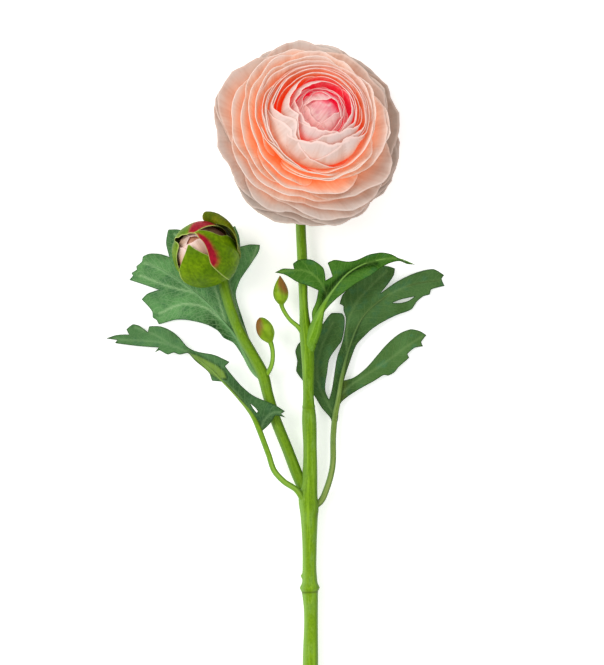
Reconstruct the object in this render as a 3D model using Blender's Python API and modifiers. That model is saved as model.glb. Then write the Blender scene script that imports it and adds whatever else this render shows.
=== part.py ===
"""Ranunculus flower, picked and laid on its back on a flat surface.

The spray has one open double flower on a bent neck, one opening bud on a side
branch, two closed buds on thin stalks and four divided leaves. It is drawn in a
plan frame, in millimetres: the fork of the stem is at x = y = 0, +Y runs along the
stem to the flower, +X is to the right and +Z is up. The flower's own frame has its
origin at the base of the receptacle and +Z along the flower's axis. An empty carries
everything, and stands so that the middle of the spray's outer box is over the world
origin and its lowest point is at z = 0.
"""
import math

import bmesh
import bpy
import numpy as np
from mathutils import Vector
from mathutils.geometry import delaunay_2d_cdt

MM = 0.001
SEAT_GAP = 0.3            # between pieces that touch
COLLECTION_NAME = "ranunculus_flower"

# --- Driving dimensions of the stems: x, y, z and radius of points on each centreline
FLOWER_BASE = (-3.7, 153.6, 9.5)
FLOWER_AXIS = (0.26, 0.315, 0.913)
MAIN_STEM = [
    (1.5, -152.0, 3.4, 3.35), (0.9, -110.0, 3.9, 3.35), (0.6, -72.0, 4.9, 3.3),
    (0.6, -45.0, 5.6, 3.25), (0.4, -42.0, 5.7, 3.5), (0.3, -39.8, 5.7, 4.1),
    (0.3, -37.6, 5.8, 3.4), (0.2, -34.5, 5.8, 3.15), (0.2, -22.0, 6.2, 3.1),
    (0.0, -9.0, 6.7, 3.7), (-0.5, 0.0, 7.0, 4.1), (0.0, 5.5, 7.1, 3.6),
    (0.4, 12.0, 7.3, 3.15), (0.4, 20.0, 7.6, 2.95), (-0.1, 36.0, 8.0, 2.9),
    (-0.2, 38.6, 8.1, 2.6), (-0.4, 56.0, 8.3, 2.65), (-0.9, 66.0, 8.3, 2.9),
    (-1.5, 71.5, 8.3, 2.7), (-2.0, 77.0, 8.2, 2.15), (-2.9, 101.0, 7.2, 2.2),
    (-3.6, 118.0, 5.6, 2.15), (-3.2, 136.0, 3.4, 2.2), (-2.9, 145.5, 2.7, 2.25),
    (-3.2, 149.6, 3.3, 2.35),
]
SIDE_STEM = [
    (-0.6, -1.0, 6.9, 2.0), (-3.9, 6.2, 7.2, 2.4), (-9.1, 19.5, 7.5, 2.4),
    (-14.8, 33.9, 7.9, 2.35), (-17.6, 43.1, 8.1, 2.35), (-20.1, 52.6, 8.4, 2.55),
    (-24.2, 60.5, 8.5, 2.35), (-29.0, 69.0, 8.5, 2.3), (-33.6, 80.0, 7.9, 2.3),
    (-36.3, 89.0, 6.8, 2.3), (-37.4, 94.0, 5.9, 2.3),
]

# --- Petals: nested shells about the flower's axis, from innermost (0) to outermost (1).
# Each row: place in the nest, rim radius, rim height, direction of the rim in degrees,
# and the rim's Bezier handle over the shell's length. The cup's petals close over the
# heart, the ring's petals stand upright and the outer petals open flat.
PETAL_COUNT = 37
GOLDEN_ANGLE = 137.508
FIRST_PETAL_AZIMUTH = 250.0 - 36 * GOLDEN_ANGLE
RIM_KEYS = [
    (0.00, 10.4, 33.4, 150.0, 0.30), (0.12, 13.4, 33.9, 146.0, 0.28),
    (0.22, 16.8, 33.0, 140.0, 0.26), (0.31, 20.6, 30.6, 128.0, 0.25),
    (0.335, 23.4, 30.8, 100.0, 0.36), (0.47, 26.2, 29.2, 86.0, 0.38),
    (0.52, 28.6, 28.0, 76.0, 0.38), (0.70, 35.6, 22.0, 56.0, 0.38),
    (0.85, 41.0, 14.5, 40.0, 0.38), (1.00, 44.2, 6.8, 24.0, 0.38),
    (1.12, 45.0, 3.0, 14.0, 0.38),
]
BASE_SLOPE = [(0.0, 36.0), (0.5, 14.0), (1.12, -6.0)]
BASE_ROW = [(0.0, 58.0), (1.0, 5.0), (1.12, -2.0)]
PETAL_SPREAD = [(0.0, 66.0), (0.3, 66.0), (0.5, 58.0), (1.0, 48.0), (1.12, 22.0)]
TIP_ROUNDING = [(0.0, 0.26), (0.5, 0.34), (1.0, 0.44), (1.12, 0.60)]
BASE_HANDLE = 0.42
CLAW_HALF_WIDTH = 2.0
PETAL_THICKNESS = 0.45
SEPAL_SHELL = 1.10
# azimuth of each sepal, and the part of its shell's profile that it covers
FLOWER_SEPALS = [(216.0, 0.80), (283.0, 0.70), (355.0, 0.58), (67.0, 0.42), (139.0, 0.66)]

# --- Receptacle: a dome on the flower's axis, with the petals' claws just outside it
RECEPTACLE_RADIUS = 6.8
RECEPTACLE_HEIGHT = 9.5
RECEPTACLE_RISE = 1.0     # height of the dome's widest ring above its origin
RECEPTACLE_FOOT = [(5.6, -0.6), (3.2, -1.5), (0.0, -1.5)]
CLAW_CLEARANCE = 0.55     # from the dome to the middle of a claw
FLOWER_HEART = [
    (0.0, 35.0), (5.0, 33.8), (8.6, 30.6), (10.3, 25.8), (9.6, 20.8), (6.6, 16.2),
    (2.4, 12.2), (0.0, 10.8),
]

# --- Opening bud: nearly a ball, its sepals in three layers round a closed heart
BUD_CENTRE = (-45.2, 104.2, 18.4)
BUD_AXIS = (-0.447, 0.397, 0.802)
BUD_HEART_RADIUS = 11.4
BUD_STRETCH = 1.06        # length of the bud over its width
BUD_MOUTH = 15.0          # polar angle of the hole where the stem comes in
# radius, azimuth, half spread, polar angle of the tip, tip rounding, flare of the tip
BUD_SEPALS = [
    (13.1, -80.0, 41.0, 169.0, 0.26, 0.0), (14.1, -13.0, 35.0, 165.0, 0.22, 0.0),
    (14.85, 48.0, 32.0, 126.0, 0.40, 3.4), (12.3, 102.0, 42.0, 148.0, 0.34, 0.0),
    (12.3, 196.0, 40.0, 158.0, 0.40, 0.0),
]
BUD_SEPAL_THICKNESS = 0.4

# --- Closed buds: turned profiles from tip to foot, on thin stalks
UPPER_BUD = [
    (0.0, 12.6), (1.1, 10.9), (2.5, 8.3), (3.3, 5.4), (3.0, 2.8), (1.9, 0.9),
    (1.0, 0.0), (0.0, 0.0),
]
UPPER_BUD_FOOT = (-11.9, 82.4, 9.8)
UPPER_BUD_AXIS = (-0.05, 0.99, 0.10)
UPPER_BUD_STALK = [
    (-1.6, 68.0, 8.5, 1.4), (-4.4, 72.4, 8.9, 1.05), (-8.2, 75.8, 9.3, 0.9),
    (-10.6, 79.2, 9.6, 0.9), (-11.7, 81.6, 9.75, 0.95),
]
LOWER_BUD = [
    (0.0, 11.7), (1.7, 10.8), (3.1, 8.6), (3.7, 5.9), (3.3, 3.1), (2.0, 1.0),
    (1.1, 0.0), (0.0, 0.0),
]
LOWER_BUD_FOOT = (-16.6, 66.2, 10.6)
LOWER_BUD_AXIS = (-0.40, 0.90, 0.16)
LOWER_BUD_STALK = [
    (-19.4, 50.4, 8.8, 1.2), (-16.6, 55.0, 9.6, 1.0), (-15.6, 59.5, 10.1, 0.95),
    (-16.0, 64.2, 10.4, 1.0),
]

# --- Leaves: blade outlines in plan, blade heights at a few places, stalks
LEAF_THICKNESS = 0.6
LEAF_CELL = 6.0           # spacing of the points inside a blade
HEIGHT_BLEND = 2.5        # softens the blade between the places with a given height
RIGHT_LEAF = [
    (9.9, 29.4), (9.5, 32.9), (5.6, 37.6), (2.5, 42.6), (-2.6, 49.3), (-5.5, 53.6),
    (-5.1, 57.9), (-5.9, 62.3), (-4.5, 65.5), (-1.3, 67.9), (2.8, 69.4), (6.1, 74.2),
    (9.6, 78.6), (14.3, 78.5), (15.3, 76.8), (14.0, 66.4), (12.5, 64.4), (8.8, 58.9),
    (7.9, 53.4), (7.0, 45.1), (8.6, 41.3), (9.6, 44.6), (11.2, 54.3), (12.1, 59.6),
    (14.4, 66.4), (15.9, 76.5), (14.9, 79.8), (14.8, 81.7), (13.2, 82.6), (14.6, 86.7),
    (19.8, 91.4), (24.0, 95.0), (28.8, 98.2), (33.5, 99.0), (37.1, 97.9), (36.6, 95.0),
    (30.8, 87.2), (38.2, 92.4), (46.1, 96.1), (53.9, 97.7), (58.4, 95.1), (57.3, 93.5),
    (58.6, 90.4), (52.8, 88.8), (52.1, 86.7), (44.5, 85.6), (36.1, 83.3), (43.4, 82.4),
    (43.2, 79.7), (38.1, 77.9), (31.5, 74.6), (27.1, 71.7), (23.6, 68.4), (20.5, 64.9),
    (18.2, 59.2), (15.8, 52.1), (15.1, 49.6), (19.2, 50.8), (24.9, 55.2), (29.3, 60.3),
    (34.2, 65.8), (39.4, 70.0), (44.1, 71.7), (48.3, 70.7), (50.7, 69.1), (48.5, 66.2),
    (49.2, 64.3), (45.6, 63.6), (42.5, 60.9), (43.2, 59.4), (38.6, 55.2), (36.8, 53.0),
    (34.2, 51.7), (32.4, 51.9), (28.4, 49.5), (20.5, 45.1), (14.3, 40.6), (13.2, 38.9),
    (12.1, 31.4),
]
RIGHT_LEAF_HEIGHTS = [
    (12.0, 34.0, 4.0), (14.0, 50.0, 3.8), (17.5, 62.0, 4.2), (24.0, 78.0, 4.5),
    (35.0, 87.0, 3.5), (58.4, 95.0, 0.4), (52.0, 88.0, 1.2), (33.0, 99.0, 1.5),
    (24.0, 95.0, 2.2), (8.0, 75.0, 3.2), (-5.5, 60.0, 2.0), (3.0, 45.0, 3.0),
    (30.0, 55.0, 3.4), (44.0, 70.0, 2.2), (50.0, 68.0, 0.8), (38.0, 55.0, 2.4),
]
RIGHT_LEAF_STALK = [
    (1.5, -5.2, 6.6, 1.5), (4.9, -2.6, 6.3, 1.4), (7.8, 3.5, 5.9, 1.35),
    (9.9, 11.1, 5.4, 1.3), (10.5, 26.5, 4.4, 1.25), (11.2, 34.0, 4.0, 1.25),
    (12.6, 41.0, 3.8, 1.15), (14.2, 51.0, 3.8, 0.9),
]
LEFT_LEAF = [
    (-87.6, 67.7), (-83.2, 69.2), (-77.7, 69.4), (-78.9, 71.6), (-76.1, 73.8),
    (-73.3, 73.2), (-69.6, 70.4), (-69.0, 72.9), (-64.0, 72.9), (-59.0, 70.7),
    (-56.0, 68.2), (-52.3, 64.0), (-49.1, 62.3), (-40.4, 60.5), (-34.2, 57.6),
    (-36.1, 55.8), (-29.4, 47.7), (-24.3, 43.4), (-14.4, 39.0), (-10.4, 36.5),
    (-11.9, 35.3), (-10.0, 33.7), (-14.4, 34.7), (-16.9, 31.0), (-20.6, 27.5),
    (-23.0, 31.0), (-26.8, 38.4), (-32.3, 44.6), (-36.8, 48.9), (-41.7, 49.6),
    (-42.9, 52.7), (-49.1, 58.2), (-52.2, 61.4), (-56.0, 60.8), (-58.4, 61.6),
    (-61.0, 60.8), (-64.6, 62.6), (-66.6, 61.6), (-64.9, 63.8), (-73.9, 64.4),
    (-83.9, 65.7), (-82.8, 67.0),
]
LEFT_LEAF_HEIGHTS = [
    (-20.6, 28.0, 12.4), (-25.0, 36.0, 12.8), (-12.0, 37.0, 13.6), (-10.4, 35.0, 13.8),
    (-18.0, 40.0, 13.2), (-29.0, 45.0, 12.0), (-40.0, 55.0, 9.6), (-49.0, 60.0, 7.4),
    (-60.0, 67.0, 4.8), (-75.0, 68.0, 2.4), (-87.0, 67.6, 0.4), (-76.0, 73.5, 1.6),
    (-66.0, 72.0, 3.6), (-36.0, 49.5, 11.6),
]
LEFT_LEAF_STALK = [
    (-2.4, -1.6, 8.4, 1.5), (-5.4, 2.6, 10.9, 1.3), (-10.9, 6.3, 11.8, 1.25),
    (-14.8, 10.6, 11.9, 1.25), (-17.4, 17.8, 12.1, 1.2), (-19.8, 24.2, 12.3, 1.2),
    (-21.4, 28.4, 12.4, 1.2), (-24.4, 34.6, 12.8, 0.9),
]
BUD_LEAF = [
    (-25.1, 54.7), (-27.6, 58.3), (-32.7, 65.9), (-36.8, 68.0), (-39.3, 71.0),
    (-44.0, 73.6), (-53.1, 75.7), (-57.7, 75.7), (-64.9, 73.9), (-65.9, 75.7),
    (-67.5, 76.7), (-67.7, 79.2), (-72.3, 84.6), (-70.0, 86.9), (-64.9, 88.7),
    (-71.5, 91.0), (-77.7, 93.0), (-76.1, 94.9), (-76.8, 96.0), (-74.4, 97.5),
    (-74.6, 98.8), (-72.2, 101.0), (-71.8, 103.0), (-69.0, 104.3), (-64.4, 104.2),
    (-60.3, 102.9), (-61.8, 109.0), (-60.8, 114.7), (-56.2, 114.7), (-51.5, 112.0),
    (-47.1, 100.7), (-37.6, 107.7), (-33.8, 115.5), (-32.0, 116.2), (-30.2, 111.9),
    (-29.7, 107.3), (-25.6, 108.3), (-21.2, 108.1), (-21.5, 105.8), (-25.6, 99.1),
    (-30.2, 92.0), (-31.6, 86.9), (-28.5, 75.7), (-24.6, 62.7),
]
BUD_LEAF_HEIGHTS = [
    (-25.1, 55.5, 6.4), (-29.0, 65.0, 5.4), (-38.0, 74.0, 4.2), (-50.0, 85.0, 2.8),
    (-60.0, 92.0, 1.8), (-77.0, 95.0, 0.4), (-68.0, 77.0, 0.9), (-61.0, 114.0, 0.9),
    (-46.0, 101.0, 2.0), (-33.0, 115.0, 2.2), (-22.0, 107.0, 3.0), (-28.0, 90.0, 4.2),
    (-27.0, 75.0, 5.0),
]
BUD_LEAF_STALK = [
    (-20.3, 50.5, 8.0, 1.3), (-23.6, 53.6, 6.9, 1.3), (-26.6, 58.5, 6.1, 1.15),
    (-30.2, 66.5, 5.3, 0.8),
]
STEM_LEAF = [
    (2.8, 68.5), (1.7, 73.5), (1.3, 79.1), (3.0, 83.5), (3.9, 88.3), (-0.6, 90.4),
    (-4.6, 91.7), (-10.4, 95.1), (-14.7, 96.0), (-11.3, 97.7), (-6.4, 97.5),
    (-6.9, 99.8), (-4.6, 101.4), (0.8, 101.6), (3.9, 100.0), (6.2, 97.8), (7.1, 92.6),
    (10.0, 94.4), (8.0, 100.2), (10.7, 101.4), (17.0, 100.7), (20.6, 101.4),
    (25.5, 103.6), (31.4, 104.6), (35.4, 103.8), (39.5, 101.6), (45.5, 99.5),
    (42.2, 99.7), (38.9, 100.9), (34.5, 100.0), (30.9, 98.0), (26.9, 95.0),
    (20.1, 91.2), (14.7, 87.2), (11.2, 84.3), (6.7, 79.3), (5.5, 76.6), (5.8, 73.5),
]
STEM_LEAF_HEIGHTS = [
    (3.6, 70.0, 10.6), (3.8, 76.0, 11.2), (8.0, 85.0, 12.6), (3.5, 92.0, 13.8),
    (-3.0, 97.0, 13.4), (-14.0, 96.0, 12.8), (-5.0, 101.5, 13.4), (5.0, 99.0, 14.6),
    (12.0, 90.5, 12.8), (16.5, 95.5, 13.2), (22.0, 98.6, 13.8), (30.5, 101.5, 14.6),
    (15.5, 88.0, 15.0), (20.5, 91.6, 15.8), (27.0, 95.4, 16.4), (10.0, 100.5, 16.0),
    (17.0, 100.4, 16.6), (25.5, 103.3, 16.8), (34.0, 103.8, 16.2), (45.5, 99.5, 13.6),
]
STEM_LEAF_STALK = [
    (0.2, 65.5, 9.0, 2.4), (2.5, 70.6, 10.4, 2.9), (3.9, 75.6, 11.4, 2.6),
    (5.8, 80.2, 12.1, 1.8), (8.2, 85.0, 12.6, 1.2), (11.6, 90.0, 12.9, 0.8),
]

# --- Colours (sRGB hex) and roughness
STEM_FINISH = ("stem_green", "86AE1E", 0.42)
STALK_FINISH = ("stalk_lime", "93B92F", 0.42)
LEAF_FINISH = ("leaf_green", "4F7A45", 0.60)
BUD_LEAF_FINISH = ("leaf_blue_green", "6A9A70", 0.60)
SEPAL_FINISH = ("sepal_olive", "6C8C12", 0.50)
SMALL_BUD_FINISH = ("small_bud_green", "85A01A", 0.45)
PETAL_FINISH = ("petal_cream_pink", "EBC2B2", 0.55)
OUTER_PETAL_FINISH = ("petal_outer_cream", "D9B9A6", 0.58)
HEART_FINISH = ("petal_heart_pink", "EBBCBC", 0.55)


def clear_scene():
    for scene_object in list(bpy.data.objects):
        bpy.data.objects.remove(scene_object, do_unlink=True)


def new_collection(name):
    collection = bpy.data.collections.new(name)
    bpy.context.scene.collection.children.link(collection)
    return collection


def linear_channel(value):
    return value / 12.92 if value <= 0.04045 else ((value + 0.055) / 1.055) ** 2.4


def material(finish):
    """Principled material of a finish, made once and shared."""
    name, colour_hex, roughness = finish
    found = bpy.data.materials.get(name)
    if found:
        return found
    made = bpy.data.materials.new(name)
    made.use_nodes = True
    shader = made.node_tree.nodes["Principled BSDF"]
    channels = [int(colour_hex[i:i + 2], 16) / 255 for i in (0, 2, 4)]
    shader.inputs["Base Color"].default_value = [linear_channel(c) for c in channels] + [1.0]
    shader.inputs["Roughness"].default_value = roughness
    shader.inputs["Metallic"].default_value = 0.0
    return made


def add_part(name, mesh, finish, parent):
    """Put a mesh into the spray as a named sub-part."""
    part = bpy.data.objects.new(name, mesh)
    part.data.materials.append(material(finish))
    part.parent = parent
    parts.objects.link(part)
    return part


def add_tool(name, mesh, parent):
    """Put a mesh into the scene as a hidden Boolean operand."""
    tool = bpy.data.objects.new(name, mesh)
    tool.hide_render = True
    tool.display_type = "WIRE"
    tool.parent = parent
    tools.objects.link(tool)
    return tool


def combine(part, tool, operation):
    """Boolean of a part with a hidden operand."""
    step = part.modifiers.new(f"{operation.lower()}_{tool.name}", "BOOLEAN")
    step.operation = operation
    step.solver = "EXACT"
    step.object = tool


def add_frame(name, origin, axis, parent):
    """Empty at an origin in millimetres, its +Z turned the shortest way onto an axis."""
    frame = bpy.data.objects.new(name, None)
    frame.location = Vector(origin) * MM
    frame.rotation_mode = "QUATERNION"
    frame.rotation_quaternion = Vector((0.0, 0.0, 1.0)).rotation_difference(Vector(axis))
    frame.parent = parent
    parts.objects.link(frame)
    return frame


def smooth_route(points, longest_step):
    """Curve through the points (cubic Hermite), with steps no longer than the given one."""
    points = np.array(points, dtype=float)
    reach = np.r_[0.0, np.cumsum(np.linalg.norm(np.diff(points[:, :3], axis=0), axis=1))]
    slope = np.gradient(points, reach, axis=0)
    route = [points[0]]
    for i in range(len(points) - 1):
        span = reach[i + 1] - reach[i]
        steps = max(1, math.ceil(span / longest_step))
        for s in np.arange(1, steps + 1) / steps:
            start = (1 + 2 * s) * (1 - s) ** 2 * points[i] + s * (1 - s) ** 2 * span * slope[i]
            finish = s * s * (3 - 2 * s) * points[i + 1] + s * s * (s - 1) * span * slope[i + 1]
            route.append(start + finish)
    return np.array(route)


def tube_mesh(name, route, growth=0.0, resolution=4):
    """Round stalk along a route of x, y, z, radius rows, its radii grown, as a closed mesh."""
    curve = bpy.data.curves.new(name, "CURVE")
    curve.dimensions = "3D"
    curve.bevel_depth = MM
    curve.bevel_resolution = resolution
    curve.use_fill_caps = True
    spline = curve.splines.new("POLY")
    spline.points.add(len(route) - 1)
    for point, (x, y, z, radius) in zip(spline.points, route):
        point.co = (x * MM, y * MM, z * MM, 1.0)
        point.radius = radius + growth
    holder = bpy.data.objects.new(name, curve)
    bpy.context.scene.collection.objects.link(holder)
    depsgraph = bpy.context.evaluated_depsgraph_get()
    mesh = bpy.data.meshes.new_from_object(holder.evaluated_get(depsgraph))
    bpy.data.objects.remove(holder, do_unlink=True)
    bpy.data.curves.remove(curve)
    cage = bmesh.new()
    cage.from_mesh(mesh)
    bmesh.ops.remove_doubles(cage, verts=cage.verts, dist=0.001 * MM)
    cage.to_mesh(mesh)
    cage.free()
    mesh.name = name
    mesh.shade_smooth()
    return mesh


def solidify(part, thickness):
    wall = part.modifiers.new("wall", "SOLIDIFY")
    wall.thickness = thickness * MM
    wall.offset = 0.0
    wall.use_even_offset = True


def blend_key(table, place):
    """Value at a place in the nest, straight between the table's rows."""
    rows = np.array(table)
    return float(np.interp(place, rows[:, 0], rows[:, 1]))


def smooth_step(x):
    x = min(max(x, 0.0), 1.0)
    return x * x * (3 - 2 * x)


def shell_profile(place):
    """Bezier control points (radius, height) of a petal shell, from claw to rim."""
    keys = np.array(RIM_KEYS)
    radius, height, angle, handle = (float(np.interp(place, keys[:, 0], column)) for column in keys.T[1:])
    row = math.radians(blend_key(BASE_ROW, place))
    claw = np.array([(RECEPTACLE_RADIUS + CLAW_CLEARANCE) * math.cos(row),
                     RECEPTACLE_RISE + (RECEPTACLE_HEIGHT + CLAW_CLEARANCE) * math.sin(row)])
    rim = np.array([radius, height])
    length = np.linalg.norm(rim - claw)
    slope = math.radians(blend_key(BASE_SLOPE, place))
    turn = math.radians(angle)
    return (claw, claw + BASE_HANDLE * length * np.array([math.cos(slope), math.sin(slope)]),
            rim - handle * length * np.array([math.cos(turn), math.sin(turn)]), rim)


def bezier(controls, t):
    a, b, c, d = controls
    return (1 - t) ** 3 * a + 3 * t * (1 - t) ** 2 * b + 3 * t * t * (1 - t) * c + t ** 3 * d


def cup_sheet(name, profile, claw_spread, spread, rounding, columns, rows):
    """Open sheet on a surface of revolution: a claw that widens to a rounded blade.

    profile(t) gives radius and height at t from 0 (claw) to 1 (tip); spread is half
    the blade's angle round the axis, and rounding how far its sides fall short of its tip.
    """
    sheet = bmesh.new()
    bmesh.ops.create_grid(sheet, x_segments=columns, y_segments=rows, size=1.0)
    for vertex in sheet.verts:
        across = vertex.co.x
        reach = 1 - rounding * (1 - math.sqrt(1 - (0.98 * across) ** 2))
        t = (vertex.co.y + 1) / 2 * reach
        half_angle = claw_spread + (spread - claw_spread) * smooth_step(t / 0.55)
        azimuth = math.radians(half_angle) * across
        radius, height = profile(t)
        vertex.co = Vector((radius * math.cos(azimuth), radius * math.sin(azimuth), height)) * MM
    mesh = bpy.data.meshes.new(name)
    bmesh.ops.recalc_face_normals(sheet, faces=sheet.faces)
    sheet.to_mesh(mesh)
    sheet.free()
    mesh.shade_smooth()
    return mesh


def flower_petal(name, place, azimuth, finish, length=1.0, columns=7, rows=6):
    """One petal or sepal on its shell of the flower, turned to its azimuth."""
    controls = shell_profile(place)
    claw_spread = math.degrees(CLAW_HALF_WIDTH / controls[0][0])
    mesh = cup_sheet(name, lambda t: bezier(controls, t * length), claw_spread,
                     blend_key(PETAL_SPREAD, place), blend_key(TIP_ROUNDING, place), columns, rows)
    petal = add_part(name, mesh, finish, flower)
    petal.rotation_euler.z = math.radians(azimuth)
    solidify(petal, PETAL_THICKNESS)
    return petal


def turned(name, profile, finish, parent, steps=16):
    """Solid turned about its own Z from a profile of (radius, height), top to bottom."""
    mesh = bpy.data.meshes.new(name)
    edges = [(i, i + 1) for i in range(len(profile) - 1)]
    mesh.from_pydata([(radius * MM, 0.0, height * MM) for radius, height in profile], edges, [])
    part = add_part(name, mesh, finish, parent)
    screw = part.modifiers.new("turn", "SCREW")
    screw.steps = steps
    screw.render_steps = steps
    screw.use_merge_vertices = True
    screw.merge_threshold = 0.01 * MM
    screw.use_smooth_shade = True
    return part


def blade_height(x, y, heights):
    """Mean of the given heights, each weighted by the inverse cube of its distance."""
    places = np.array(heights)
    squares = (places[:, 0] - x) ** 2 + (places[:, 1] - y) ** 2 + HEIGHT_BLEND ** 2
    weights = squares ** -1.5
    return float(weights @ places[:, 2] / weights.sum())


def inside(x, y, outline):
    """True where a point lies in a closed outline (even-odd rule)."""
    crossings = 0
    for (xa, ya), (xb, yb) in zip(outline, outline[1:] + outline[:1]):
        if (ya > y) != (yb > y) and x < xa + (y - ya) / (yb - ya) * (xb - xa):
            crossings += 1
    return crossings % 2 == 1


def blade_mesh(name, outline, heights):
    """Open blade: the outline filled with even triangles, then lifted to its heights."""
    corners = np.array(outline)
    low, high = corners.min(axis=0), corners.max(axis=0)
    points = [Vector(corner) for corner in outline]
    for j, y in enumerate(np.arange(low[1] + LEAF_CELL / 2, high[1], LEAF_CELL * 0.87)):
        for x in np.arange(low[0] + LEAF_CELL * (0.25 + 0.5 * (j % 2)), high[0], LEAF_CELL):
            clear = np.hypot(corners[:, 0] - x, corners[:, 1] - y).min() > LEAF_CELL * 0.45
            if clear and inside(x, y, outline):
                points.append(Vector((x, y)))
    rim = [(i, (i + 1) % len(outline)) for i in range(len(outline))]
    filled = delaunay_2d_cdt(points, rim, [], 1, 0.001)
    mesh = bpy.data.meshes.new(name)
    lifted = [Vector((x, y, blade_height(x, y, heights))) * MM for x, y in filled[0]]
    mesh.from_pydata(lifted, [], filled[2])
    mesh.shade_smooth()
    return mesh


def add_leaf(name, outline, heights, stalk, finish, seats):
    """Blade and stalk in one piece, cut clear of the stems it grows from."""
    leaf = add_part(name, blade_mesh(name, outline, heights), finish, spray)
    solidify(leaf, LEAF_THICKNESS)
    combine(leaf, add_tool(f"{name}_stalk", tube_mesh(name, smooth_route(stalk, 5.0)), spray), "UNION")
    for seat in seats:
        combine(leaf, seat, "DIFFERENCE")
    return leaf


def add_stalk(name, route, finish, seats):
    """Thin round stalk, cut clear of the stem it grows from."""
    stalk = add_part(name, tube_mesh(name, route), finish, spray)
    for seat in seats:
        combine(stalk, seat, "DIFFERENCE")
    return stalk


def along(foot, axis, distance):
    """Point at a distance from a foot along an axis, as x, y, z."""
    return tuple(np.array(foot) + distance * np.array(axis) / np.linalg.norm(axis))


def build_stems():
    """Main stem up to the receptacle, and the side stem up to the bud's heart."""
    foot_height = RECEPTACLE_FOOT[-1][1] - SEAT_GAP
    main_top = [along(FLOWER_BASE, FLOWER_AXIS, foot_height - 1.6) + (2.7,),
                along(FLOWER_BASE, FLOWER_AXIS, foot_height) + (3.0,)]
    main_route = smooth_route(MAIN_STEM + main_top, 9.0)
    add_part("main_stem", tube_mesh("main_stem", main_route), STEM_FINISH, spray)
    main_seat = add_tool("main_stem_seat", tube_mesh("main_seat", main_route, SEAT_GAP), spray)

    bud_foot = -BUD_HEART_RADIUS * BUD_STRETCH - SEAT_GAP
    side_top = [along(BUD_CENTRE, BUD_AXIS, bud_foot - 1.8) + (2.4,),
                along(BUD_CENTRE, BUD_AXIS, bud_foot) + (2.3,)]
    side_route = smooth_route(SIDE_STEM + side_top, 8.0)
    add_stalk("side_stem", side_route, STEM_FINISH, [main_seat])
    side_seat = add_tool("side_stem_seat", tube_mesh("side_seat", side_route, SEAT_GAP), spray)
    return main_seat, side_seat


def build_flower():
    """Receptacle, petals from the inside out, closed heart and the sepals behind."""
    rows = np.radians(np.linspace(90, 0, 7))
    dome = [(RECEPTACLE_RADIUS * math.cos(a), RECEPTACLE_RISE + RECEPTACLE_HEIGHT * math.sin(a))
            for a in rows[1:]]
    top = [(0.0, RECEPTACLE_RISE + RECEPTACLE_HEIGHT)]
    turned("flower_receptacle", top + dome + RECEPTACLE_FOOT, SEPAL_FINISH, flower)
    turned("flower_heart", FLOWER_HEART, HEART_FINISH, flower)
    for i in range(PETAL_COUNT):
        place = i / (PETAL_COUNT - 1)
        finish = OUTER_PETAL_FINISH if place > 0.85 else PETAL_FINISH
        azimuth = FIRST_PETAL_AZIMUTH + i * GOLDEN_ANGLE
        flower_petal(f"petal_{i + 1:02d}", place, azimuth, finish)
    for i, (azimuth, length) in enumerate(FLOWER_SEPALS):
        flower_petal(f"flower_sepal_{i + 1}", SEPAL_SHELL, azimuth, SEPAL_FINISH, length, 4, 5)


def build_opening_bud():
    """Closed heart and five sepals, each on its own sphere about the bud's centre."""
    bud = add_frame("bud_frame", BUD_CENTRE, BUD_AXIS, spray)
    angles = np.radians(np.linspace(0, 180, 10))
    heart = [(BUD_HEART_RADIUS * math.sin(a), BUD_HEART_RADIUS * BUD_STRETCH * math.cos(a))
             for a in angles]
    heart[0] = (0.0, heart[0][1])
    heart[-1] = (0.0, heart[-1][1])
    turned("bud_heart", heart, HEART_FINISH, bud)
    for i, (radius, azimuth, spread, tip, rounding, flare) in enumerate(BUD_SEPALS):
        def profile(t, radius=radius, tip=tip, flare=flare):
            polar = math.radians(BUD_MOUTH + t * (tip - BUD_MOUTH))
            size = radius + flare * t ** 3
            return size * math.sin(polar), -size * BUD_STRETCH * math.cos(polar)
        name = f"bud_sepal_{i + 1}"
        sepal = add_part(name, cup_sheet(name, profile, 34.0, spread, rounding, 6, 8), SEPAL_FINISH, bud)
        sepal.rotation_euler.z = math.radians(azimuth)
        solidify(sepal, BUD_SEPAL_THICKNESS)


def build_closed_bud(name, profile, foot, axis, stalk, seat):
    """Turned bud on its foot, and the stalk that carries it."""
    bud_frame = add_frame(f"{name}_frame", foot, axis, spray)
    turned(name, profile, SMALL_BUD_FINISH, bud_frame, steps=12)
    stalk_top = [along(foot, axis, -SEAT_GAP) + (1.0,)]
    stalk_name = name.replace("small_bud", "bud_stalk")
    add_stalk(stalk_name, smooth_route(stalk + stalk_top, 3.0), STALK_FINISH, [seat])


def stand_on_origin():
    """Move the spray so that its box's bottom centre is at the world origin."""
    bpy.context.view_layer.update()
    depsgraph = bpy.context.evaluated_depsgraph_get()
    corners = []
    for part in parts.objects:
        if part.type != "MESH":
            continue
        evaluated = part.evaluated_get(depsgraph)
        mesh = evaluated.to_mesh()
        points = np.empty(len(mesh.vertices) * 3)
        mesh.vertices.foreach_get("co", points)
        turn = np.array(evaluated.matrix_world)
        world = points.reshape(-1, 3) @ turn[:3, :3].T + turn[:3, 3]
        corners += [world.min(axis=0), world.max(axis=0)]
        evaluated.to_mesh_clear()
    low, high = np.min(corners, axis=0), np.max(corners, axis=0)
    spray.location = (-(low[0] + high[0]) / 2, -(low[1] + high[1]) / 2, -low[2])
    bpy.context.view_layer.update()


clear_scene()
parts = new_collection(COLLECTION_NAME)
tools = new_collection("seats_and_joins")
spray = add_frame("spray_frame", (0.0, 0.0, 0.0), (0.0, 0.0, 1.0), None)
flower = add_frame("flower_frame", FLOWER_BASE, FLOWER_AXIS, spray)

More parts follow.
